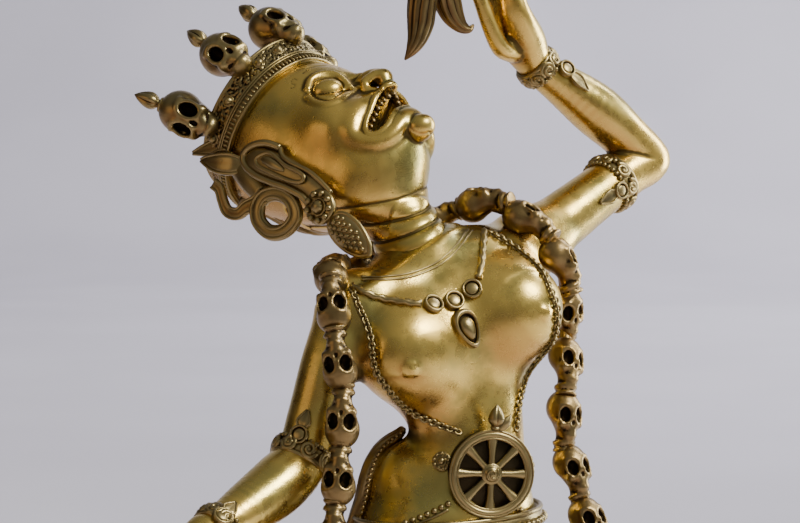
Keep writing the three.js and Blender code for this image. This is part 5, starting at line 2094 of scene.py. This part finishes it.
def apron_strings():
    """Bead strings that fall from the belt in loops over the hips and thighs, with a rosette below each
    loop, and a bordered pendant in front with three rosettes on it."""
    field = kept("leg_field", leg_field)
    made = []
    count = 12
    tops = round_hips(np.radians(np.linspace(12, 168, count)), 0.9, 177.0)
    lows = tops - (0, 0, 15)
    lows = lows + (0.12, 0.05, 0) * (lows - (*HIPS, 0))
    for i in range(count - 1):
        sag = 0.5 * (lows[i] + lows[i + 1]) - (0, 0, 6)
        loop = even_line(smooth_line([tops[i], lows[i], sag, lows[i + 1], tops[i + 1]], 40), 40)
        loop = field.settle(loop, 1.0, 2)
        made.append(beads(loop, 0.95, False, 6))
        end = field.settle(np.array([sag - (0, 0, 2)]), 0.8, 2)[0]
        made.append(copies(rosette(2.4), end, facing_axes(UPRIGHT, skin_facing(field, end[None])[0])))
    made += bordered(PENDANT, 30, (0, -1, 0.1), 0.8)
    for z in (175, 168.5, 162):
        spot = (14, -33.0 + (175 - z) * 0.12, z)
        made.append(copies(rosette(3.1), spot, facing_axes(UPRIGHT, (0, -1.0, 0.05))))
    return made


SASH = [
    (2.1, -5.4, 205, 1.4, 1.3), (-2.3, -3.9, 203.1, 1.9, 1.7), (-5.9, -2.9, 201.7, 2.1, 1.9),
    (-10.8, -2.4, 198.5, 2.3, 2.1), (-13.5, -1.7, 192.6, 2.4, 2.2), (-14.8, -0.3, 184.7, 2.6, 2.4),
    (-15.1, 0.9, 175.6, 2.8, 2.6), (-15.4, 2.7, 165.7, 3.2, 2.6), (-16.5, 3.9, 157.1, 2, 1.6),
]
SASH_FLUTES = [(3.6, 1.2, 1.5), (7.0, 1.2, 1.7), (10.6, 1.0, 1.6)]


def on_hip(points, lift):
    """Points settled on the skin of the trunk, and below the belt on the skin of the legs."""
    upper = shoulder_field().settle(points, lift, 3)
    lower = kept("leg_field", leg_field).settle(points, lift, 3)
    share = np.clip((points[:, 2:] - 174) / 8, 0, 1)
    return lower + share * (upper - lower)


def sash():
    """The skirt's rolled waist at her right hip: a beaded roll with three narrow folds behind it. Each
    radius swells 1 + 0.14 |cos 3 a|, turning as it goes."""

    def folds(a, place):
        return 1 + 0.14 * np.abs(np.cos(3 * a + 9 * place)) - 0.07

    rows = smooth_line(SASH, 70)
    line = on_hip(rows[:, :3], 1.2)
    made = [tube(line, rows[:, 3], rows[:, 4], FORWARD, 30, False, folds)]
    for back, lift, radius in SASH_FLUTES:
        share = np.clip(np.linspace(0.15, 1.6, len(rows)), 0, 1)[:, None]
        fold = even_line(on_hip(rows[:, :3] + share * np.array([0.0, back, 0.0]), lift), 60)
        made.append(tube(fold[4:], radius, radius, FORWARD, 24, False, folds))
    string = line + rows[:, 3:4] * unit([-0.2, -1, 0.35])
    made.append(beads(string[:56], 0.8))
    return made


# Cup, knife and base

def cup():
    """The skull cup: a hollow bowl, slightly lumpy, with a rounded rim and a thin ring below it."""
    steps = np.linspace(0, np.pi / 2, 22)
    outside = np.stack([CUP_RADIUS * np.sin(steps), -CUP_DEPTH * np.cos(steps)], 1)
    rim = [(17.05, 1.6), (17.1, 3.2), (16.6, 4.1), (15.9, 4.2), (15.4, 3.2)]
    inside = np.stack([15.4 * np.sin(steps), -13.4 * np.cos(steps)], 1)[::-1]
    profile = np.vstack([outside, rim, inside])

    def lumpy(a, row):
        return 1 + 0.012 * np.cos(3 * a + 1) * np.sin(row / 6)

    bowl = turned(profile, 72, lumpy)
    axes = np.stack([CUP.right, -CUP.front, CUP.crown])
    made = [copies(bowl, CUP.origin, axes)]
    made.append(ring(CUP.at(0, 0, 1.2), CUP.crown, CUP_RADIUS, 0.55, 64, 8))
    return made


LONG_LOCK = [
    (17.3, 9.6, 345.6, 3.4, 3.4), (16.3, 9.6, 338.4, 4.2, 4), (15.7, 9.6, 333.5, 4.2, 3.8),
    (15.3, 9.5, 329.3, 3.9, 3.4), (13.8, 8.9, 325, 3, 2.8), (11.7, 8.8, 321.4, 1.8, 1.8),
    (9.8, 9.8, 318.4, 0.3, 0.3),
]
SHORT_LOCK = [
    (22.5, 9.7, 343.9, 3.4, 3.4), (24.1, 9.4, 339.1, 3.9, 3.6), (25.5, 9.4, 335.2, 3.9, 3.4),
    (27, 8.7, 331.5, 3.2, 2.9), (29.1, 7.7, 328.7, 2.1, 2.1), (31.3, 6.8, 327.9, 1.2, 1.2),
    (32.8, 6.5, 329.3, 0.3, 0.3),
]


def cup_locks():
    """Locks of combed hair that hang from the cup. Each is fluted by 0.94 + 0.13 |cos(5 a + turn)|, and
    the turn grows slightly down its length."""

    def combed(a, place):
        return 1 + 0.13 * np.abs(np.cos(5 * a + 1.8 * place)) - 0.06

    return [strand(stations, 60, (0.55, 0.84, 0), 80, combed) for stations in (LONG_LOCK, SHORT_LOCK)]


# The blade's outer and inner curves below the handle: sideways and up
BLADE_OUTER = [(-17, 3), (-14.5, -5), (-7, -10.6), (2, -12), (9.4, -9.4), (13.6, -4), (14.4, 1)]
BLADE_INNER = [(-17, 3), (-12, -1.5), (-6, -0.8), (0, 0.6), (5, -0.4), (9.6, -2.2), (14.4, 1)]


def blade(low):
    """The crescent blade: four lines from the inner curve to the outer one, at half thicknesses that
    swell towards the inner side and come to an edge outside."""
    curves = [[(x, low + y) for x, y in rows] for rows in (BLADE_OUTER, BLADE_INNER)]
    outer, inner = (smooth_line(rows, 50) for rows in curves)
    sheets = {1: [], -1: []}
    for share, thick in ((0.0, 0.95), (0.25, 1.25), (0.8, 1.0), (1.0, 0.12)):
        line = inner + share * (outer - inner)
        for side, sheet in sheets.items():
            sheet.append(np.column_stack([-line[:, 0], np.full(50, side * thick), line[:, 1]]))
    return grid(KNIFE.at(np.stack(sheets[1] + sheets[-1][::-1], 1)))


def knife():
    """The curved knife: a handle with rings at both ends, a crescent blade and a bud on top."""
    half = size_of("knife_handle") / 2
    handle = np.stack([np.zeros(9), np.zeros(9), np.linspace(-half, half, 9)], 1)
    made = [tube(KNIFE.at(handle), 2.05, None, KNIFE.right, 16)]
    for c in (-10.2, -8.6, 8.6, 10.2):
        made.append(ring(KNIFE.at(0, 0, c), KNIFE.crown, 2.1, 0.75, 24, 8))
    made.append(copies(bud(6.0, 2.9, 4), KNIFE.at(0, 0, 10.0), facing_axes(KNIFE.front, KNIFE.crown)))
    made.append(blade(-half))
    return made


# Half the base's length and half its depth, and at each height the share of them that it reaches
BASE_LONG = 100
BASE_DEEP = 60
BASE_PROFILE = [
    (0, 0.985), (4, 0.985), (5.4, 0.95), (8, 0.955), (12, 0.965), (16.5, 0.945), (19.4, 0.885),
    (20.4, 0.885), (24, 0.94), (30, 0.965), (35, 0.93), (37, 0.915), (40, 0.915),
]


def base_reach(a, z):
    """The share of its half length and half depth that the base reaches at an angle and a height: its
    profile's share times a rounded oblong, (|cos a|^2.3 + |sin a|^2.3)^(-1 / 2.3)."""
    share = np.interp(z, *np.array(BASE_PROFILE).T)
    oblong = (np.abs(np.cos(a)) ** 2.3 + np.abs(np.sin(a)) ** 2.3) ** (-1 / 2.3)
    return share * oblong


def petal_row(low, high, points_down, shift):
    """A row of broad petals round the base. Each is a domed shield with a raised rim and a curled tip.
    Across it u runs from -1 to 1, and along it v runs from 0 at its root to 1 at its tip. Its half width
    goes with the root of 1 - 0.96 v^3.2, and it stands out by 1 - u^2, more at the tip."""
    count = bpy.context.scene.dakini.sizes.base_petals
    u = np.linspace(-1, 1, 17)
    v = np.linspace(0, 1, 17)
    uu, vv = np.meshgrid(u, v)
    half = (np.pi / count) * 0.97 * np.sqrt(np.clip(1.0 - 0.96 * vv**3.2, 0.0016, 1))
    made = []
    for k in range(count):
        a = 2 * np.pi * (k + shift) / count + uu * half
        z = (high - (high - low) * vv) if points_down else (low + (high - low) * vv)
        reach = base_reach(a, z)
        side_rim = np.exp(-(((np.abs(uu) - 0.86) / 0.1) ** 2))
        tip_rim = np.exp(-(((vv - 0.9) / 0.07) ** 2)) * (np.abs(uu) < 0.86)
        dome = 2.6 * (1 - uu**2) * np.sin(np.pi * np.clip(vv * 0.62 + 0.2, 0, 1))
        stand = 0.6 + dome + 0.55 * (side_rim + tip_rim) + 1.4 * vv**4
        x = (BASE_LONG * reach + stand * 0.7 - 1.2) * np.cos(a)
        y = (BASE_DEEP * reach + stand * 0.7 - 1.2) * np.sin(a)
        front = np.stack([x, y, z], -1)
        back = np.stack([x * 0.955, y * 0.93, z], -1)
        sheet = np.concatenate([front, back[:, ::-1]], 1)
        made.append(grid(sheet))
    return made


def base():
    """The low lotus base: a closed oblong drum, two rows of petals, a cord between them and a string of
    beads below the top."""
    middle = [*np.linspace(3, 5.4, 4), *np.linspace(6.2, 36, 26)]
    z = np.array([0.0, 0.6, 1.4, *middle, 36.8, 37.4, 38.2, 39.2, 39.8, 40])
    a = full_turn(180)
    aa, zz = np.meshgrid(a, z)
    reach = base_reach(aa, zz)
    behind_petals = np.where((zz > 5.8) & (zz < 36.4), 3.2, 0.0)
    low_edge = np.where(zz < 1, 0.8 - 0.8 * zz, 0)
    inset = behind_petals + low_edge + np.clip(zz - 39.2, 0, 1)
    x = (BASE_LONG * reach - inset) * np.cos(aa)
    y = (BASE_DEEP * reach - inset) * np.sin(aa)
    made = [grid(np.stack([x, y, zz], -1))]
    made += petal_row(6.0, 19.6, True, 0.0)
    made += petal_row(20.4, 35.6, False, 0.5)

    def line_round(measured_at, inset, height):
        reach = base_reach(a, np.full_like(a, measured_at))
        x = (BASE_LONG * reach - inset) * np.cos(a)
        y = (BASE_DEEP * reach - inset) * np.sin(a)
        return np.stack([x, y, np.full_like(a, height)], 1)

    made.append(beads(line_round(37.4, 0.6, 37.2), 1.5, True, 8))
    made.append(tube(line_round(20.0, 0.4, 20.0), 1.2, None, UPRIGHT, 8, True))
    return made


# Sizes and colours in the panel

def colour_setting(name, description, colour):
    """A colour setting."""
    return bpy.props.FloatVectorProperty(
        name=name, description=description, subtype="COLOR", size=3, min=0.0, max=1.0, default=colour
    )


def share_setting(name, description, value):
    """A setting from 0 to 1."""
    return bpy.props.FloatProperty(
        name=name, description=description, subtype="FACTOR", min=0.0, max=1.0, default=value
    )


def length_setting(name, description, metres):
    """A length setting."""
    return bpy.props.FloatProperty(
        name=name, description=description, unit="LENGTH", min=0.0, default=metres,
    )


def power_setting(name, description, watts):
    """A lamp's power setting."""
    return bpy.props.FloatProperty(
        name=name, description=description, unit="POWER", min=0.0, default=watts,
    )


class SkinTones(bpy.types.PropertyGroup):
    """Tones of the polished skin."""

    bright: colour_setting("Bright", "Brass where it is rubbed bright", (0.74, 0.53, 0.135))
    mid: colour_setting("Middle", "Olive brass of the level skin", (0.36, 0.325, 0.105))
    # The warm tone is painted reflection, mixed in where faces turn down, to her right and forward.
    warm: colour_setting("Warm", "Redder brass of the undersides", (0.45, 0.245, 0.065))
    dark: colour_setting("Dark", "Wax and grime in the hollows", (0.045, 0.025, 0.009))
    roughness: share_setting("Roughness", "Roughness of the clean metal", 0.27)
    grime: share_setting("Grime", "How fully the hollows are darkened", 0.85)
    pits: share_setting("Pits", "Depth of the casting pits", 0.8)


class OrnamentTones(bpy.types.PropertyGroup):
    """Tones of the chased ornaments."""

    bright: colour_setting("Bright", "Brass where it is rubbed bright", (0.34, 0.27, 0.118))
    mid: colour_setting("Middle", "Dull brass of the relief", (0.185, 0.16, 0.078))
    # The warm tone is painted reflection, mixed in where faces turn down, to her right and forward.
    warm: colour_setting("Warm", "Redder brass of the undersides", (0.24, 0.138, 0.052))
    dark: colour_setting("Dark", "Wax and grime in the hollows", (0.018, 0.011, 0.006))
    roughness: share_setting("Roughness", "Roughness of the clean metal", 0.33)
    grime: share_setting("Grime", "How fully the hollows are darkened", 1.0)
    pits: share_setting("Pits", "Depth of the casting pits", 0.5)


class BoneTones(bpy.types.PropertyGroup):
    """Tones of the darker bronze of the skulls and hair."""

    bright: colour_setting("Bright", "Bronze where it is rubbed bright", (0.28, 0.2, 0.084))
    mid: colour_setting("Middle", "Dull bronze of the relief", (0.142, 0.11, 0.052))
    # The warm tone is painted reflection, mixed in where faces turn down, to her right and forward.
    warm: colour_setting("Warm", "Redder bronze of the undersides", (0.17, 0.094, 0.038))
    dark: colour_setting("Dark", "Wax and grime in the hollows", (0.02, 0.012, 0.006))
    roughness: share_setting("Roughness", "Roughness of the clean metal", 0.34)
    grime: share_setting("Grime", "How fully the hollows are darkened", 0.95)
    pits: share_setting("Pits", "Depth of the casting pits", 0.5)


class ShadowTones(bpy.types.PropertyGroup):
    """Tones of the painted shade between the wheel's spokes, a near-black plate in place of their shadow.
    """

    # All these tones paint the shade between the spokes, not a colour of the metal.
    bright: colour_setting("Bright", "Metal where it is touched", (0.05, 0.038, 0.02))
    mid: colour_setting("Middle", "Blackened metal", (0.03, 0.022, 0.012))
    # The warm tone is painted reflection, mixed in where faces turn down, to her right and forward.
    warm: colour_setting("Warm", "Redder metal of the undersides", (0.04, 0.022, 0.01))
    dark: colour_setting("Dark", "Wax and grime in the hollows", (0.008, 0.005, 0.003))
    roughness: share_setting("Roughness", "Roughness of the clean metal", 0.5)
    grime: share_setting("Grime", "How fully the hollows are darkened", 1.0)
    pits: share_setting("Pits", "Depth of the casting pits", 0.5)


class StatueSizes(bpy.types.PropertyGroup):
    """Sizes and counts of the ornaments."""

    garland_skulls: bpy.props.IntProperty(
        name="Garland skulls", description="Skulls strung on the long garland", min=3, default=29
    )
    base_petals: bpy.props.IntProperty(
        name="Base petals", description="Petals in each row round the base", min=6, default=14
    )
    wheel_radius: length_setting("Wheel radius", "Radius of the wheel on the belly", 0.0129)
    knife_handle: length_setting("Knife handle", "Length of the knife's handle", 0.022)
    bracelet_width: length_setting("Bracelet width", "Width of the bracelets on the arms", 0.0048)
    anklet_width: length_setting("Anklet width", "Width of the anklets", 0.0044)


class StageSettings(bpy.types.PropertyGroup):
    """The floor, the surround and the lights."""

    wall: colour_setting("Wall", "Paint of the floor and wall", (0.76, 0.75, 0.82))
    surround: share_setting("Surround", "Strength of the soft surround", 0.36)
    key: power_setting("Key light", "Power of the main light", 9.5)
    fill: power_setting("Fill light", "Power of the warm light from below left", 0.7)
    rim: power_setting("Rim light", "Power of the light behind her left side", 6.0)
    wash: power_setting("Wall wash", "Power of the light on the wall", 135.0)


class DakiniSettings(bpy.types.PropertyGroup):
    """All settings of the statue."""

    skin: bpy.props.PointerProperty(type=SkinTones, name="Skin", description="Tones of the skin")
    ornament: bpy.props.PointerProperty(
        type=OrnamentTones, name="Ornament", description="Tones of the ornaments",
    )
    bone: bpy.props.PointerProperty(
        type=BoneTones, name="Bone", description="Tones of the skulls and hair",
    )
    shadow: bpy.props.PointerProperty(
        type=ShadowTones, name="Shadow", description="Tones behind the spokes",
    )
    sizes: bpy.props.PointerProperty(
        type=StatueSizes, name="Sizes", description="Sizes of the ornaments",
    )
    stage: bpy.props.PointerProperty(type=StageSettings, name="Stage", description="Floor and lights")


# Operators

class SetStage(bpy.types.Operator):
    """The camera, the pale floor and wall, the soft surround and four area lights."""

    bl_idname = "dakini.stage"
    bl_label = "Stage"

    def execute(self, context):
        stage = context.scene.dakini.stage
        put_camera()
        put_stage(tuple(stage.wall))
        put_world(SKY, DUSK, stage.surround)
        put_light("key", (620, 560, 330), (300, 300), stage.key, SUNLIGHT)
        put_light("fill", (-700, 150, 450), (600, 400), stage.fill, GLOW)
        put_light("rim", (650, 100, -350), (250, 500), stage.rim, BACKLIGHT)
        put_light(
            "wall_wash", (1900, 2300, -1500), (1600, 1600), stage.wash, PALE_VIOLET, (0, 300, -4400),
        )
        return {"FINISHED"}


class AddSkin(bpy.types.Operator):
    """The cast skin: trunk with neck and arms, legs with feet, and the head."""

    bl_idname = "dakini.skin"
    bl_label = "Skin"

    def execute(self, context):
        torso = wrapped(shoulder_field())
        put("dakini_torso", torso, finish("skin"), ("dakini_figure",))
        put("dakini_legs", wrapped(kept("leg_field", leg_field)), finish("skin"))
        put("dakini_head", head_skin(), finish("skin"), rounds=5, scale=0.35)
        return {"FINISHED"}


class AddTeeth(bpy.types.Operator):
    """Two rows of teeth in the open mouth."""

    bl_idname = "dakini.teeth"
    bl_label = "Teeth"

    def execute(self, context):
        put("dakini_teeth", teeth(), finish("bone"))
        return {"FINISHED"}


class AddCrown(bpy.types.Operator):
    """The studded circlet and the five skulls that stand on it."""

    bl_idname = "dakini.crown"
    bl_label = "Crown"

    def execute(self, context):
        put("crown_band", crown_band() + crown_studs(), finish("ornament"))
        put("crown_skulls", crown_skulls(), finish("ornament"))
        return {"FINISHED"}


class AddEars(bpy.types.Operator):
    """Ears, rosettes, pine cone drops and ribbons on both sides of the head."""

    bl_idname = "dakini.ears"
    bl_label = "Ears and ribbons"

    def execute(self, context):
        both = side_of_head(1) + side_of_head(-1)
        put("ears_and_ribbons", both, finish("ornament"))
        return {"FINISHED"}


class AddHair(bpy.types.Operator):
    """The fall of hair down her back, and the combed cap and knot inside the crown."""

    bl_idname = "dakini.hair"
    bl_label = "Hair"

    def execute(self, context):
        put("hair", hair(), finish("bone"))
        return {"FINISHED"}


class AddJewellery(bpy.types.Operator):
    """Necklaces and chains on the skin, and the bracelets, armlets and anklets."""

    bl_idname = "dakini.jewellery"
    bl_label = "Jewellery"

    def execute(self, context):
        put("necklaces", necklaces(), finish("ornament"))
        bands = arm_settings()
        for rows, place in ((LEFT_ARM, 0.23), (LEFT_ARM, 0.72), (RIGHT_ARM, 0.445), (RIGHT_ARM, 0.775)):
            bands += bracelet(rows, place, size_of("bracelet_width"))
        for rows in (BENT_LEG, STRAIGHT_LEG):
            bands += bracelet(rows, 0.84, size_of("anklet_width"))
        put("bracelets", bands, finish("ornament"))
        return {"FINISHED"}


class AddWheel(bpy.types.Operator):
    """The wheel on the belly and the dark plate of painted shade behind its spokes."""

    bl_idname = "dakini.wheel"
    bl_label = "Wheel"

    def execute(self, context):
        put("belly_wheel_shade_plate", wheel_shade_plate(), finish("shadow"))
        put("belly_wheel", wheel(), finish("ornament"))
        return {"FINISHED"}


class AddApron(bpy.types.Operator):
    """The belt, the bead net of the bone apron and the skirt's rolled waist."""

    bl_idname = "dakini.apron"
    bl_label = "Belt, apron and sash"

    def execute(self, context):
        put("belt_and_apron", belt() + apron_strings(), finish("ornament"))
        put("sash", sash(), finish("bone"))
        return {"FINISHED"}


class AddGarland(bpy.types.Operator):
    """The long garland of skulls round her shoulders."""

    bl_idname = "dakini.garland"
    bl_label = "Garland"

    def execute(self, context):
        put("garland", garland(), finish("bone"), ("skull_garland",))
        return {"FINISHED"}


class AddCup(bpy.types.Operator):
    """The hollow skull cup and the locks of hair that hang from it."""

    bl_idname = "dakini.cup"
    bl_label = "Skull cup"

    def execute(self, context):
        put("cup", cup(), finish("bone"), ("skull_cup",))
        put("cup_locks", cup_locks(), finish("bone"))
        return {"FINISHED"}


class AddKnife(bpy.types.Operator):
    """The curved knife in her right hand."""

    bl_idname = "dakini.knife"
    bl_label = "Curved knife"

    def execute(self, context):
        put("knife", knife(), finish("ornament"), ("curved_knife",))
        return {"FINISHED"}


class AddBase(bpy.types.Operator):
    """The low lotus base."""

    bl_idname = "dakini.base"
    bl_label = "Lotus base"

    def execute(self, context):
        put("lotus_seat", base(), finish("ornament"), ("lotus_base",))
        return {"FINISHED"}


OPERATORS = (
    SetStage, AddSkin, AddTeeth, AddCrown, AddEars, AddHair, AddJewellery, AddWheel, AddApron,
    AddGarland, AddCup, AddKnife, AddBase,
)


class DakiniPanel(bpy.types.Panel):
    """Lists the settings and the operators in the sidebar."""

    bl_idname = "VIEW3D_PT_dakini"
    bl_label = "Brass dakini statue"
    bl_space_type = "VIEW_3D"
    bl_region_type = "UI"
    bl_category = "Dakini"

    def draw(self, context):
        settings = context.scene.dakini
        for group in ("sizes", "skin", "ornament", "bone", "shadow", "stage"):
            box = self.layout.box()
            box.label(text=group.capitalize())
            values = getattr(settings, group)
            for name in values.__annotations__:
                box.prop(values, name)
        for operator in OPERATORS:
            self.layout.operator(operator.bl_idname)


CLASSES = (
    SkinTones, OrnamentTones, BoneTones, ShadowTones, StatueSizes, StageSettings, DakiniSettings,
    *OPERATORS, DakiniPanel,
)


def register():
    """Makes the classes and the settings known."""
    for made in CLASSES:
        bpy.utils.register_class(made)
    bpy.types.Scene.dakini = bpy.props.PointerProperty(
        type=DakiniSettings, name="Dakini", description="Settings of the statue"
    )


def unregister():
    """Takes the settings and the classes out again."""
    del bpy.types.Scene.dakini
    for made in reversed(CLASSES):
        bpy.utils.unregister_class(made)


def main():
    """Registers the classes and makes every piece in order."""
    register()
    for operator in OPERATORS:
        family, name = operator.bl_idname.split(".")
        getattr(getattr(bpy.ops, family), name)()


if __name__ == "__main__":
    main()
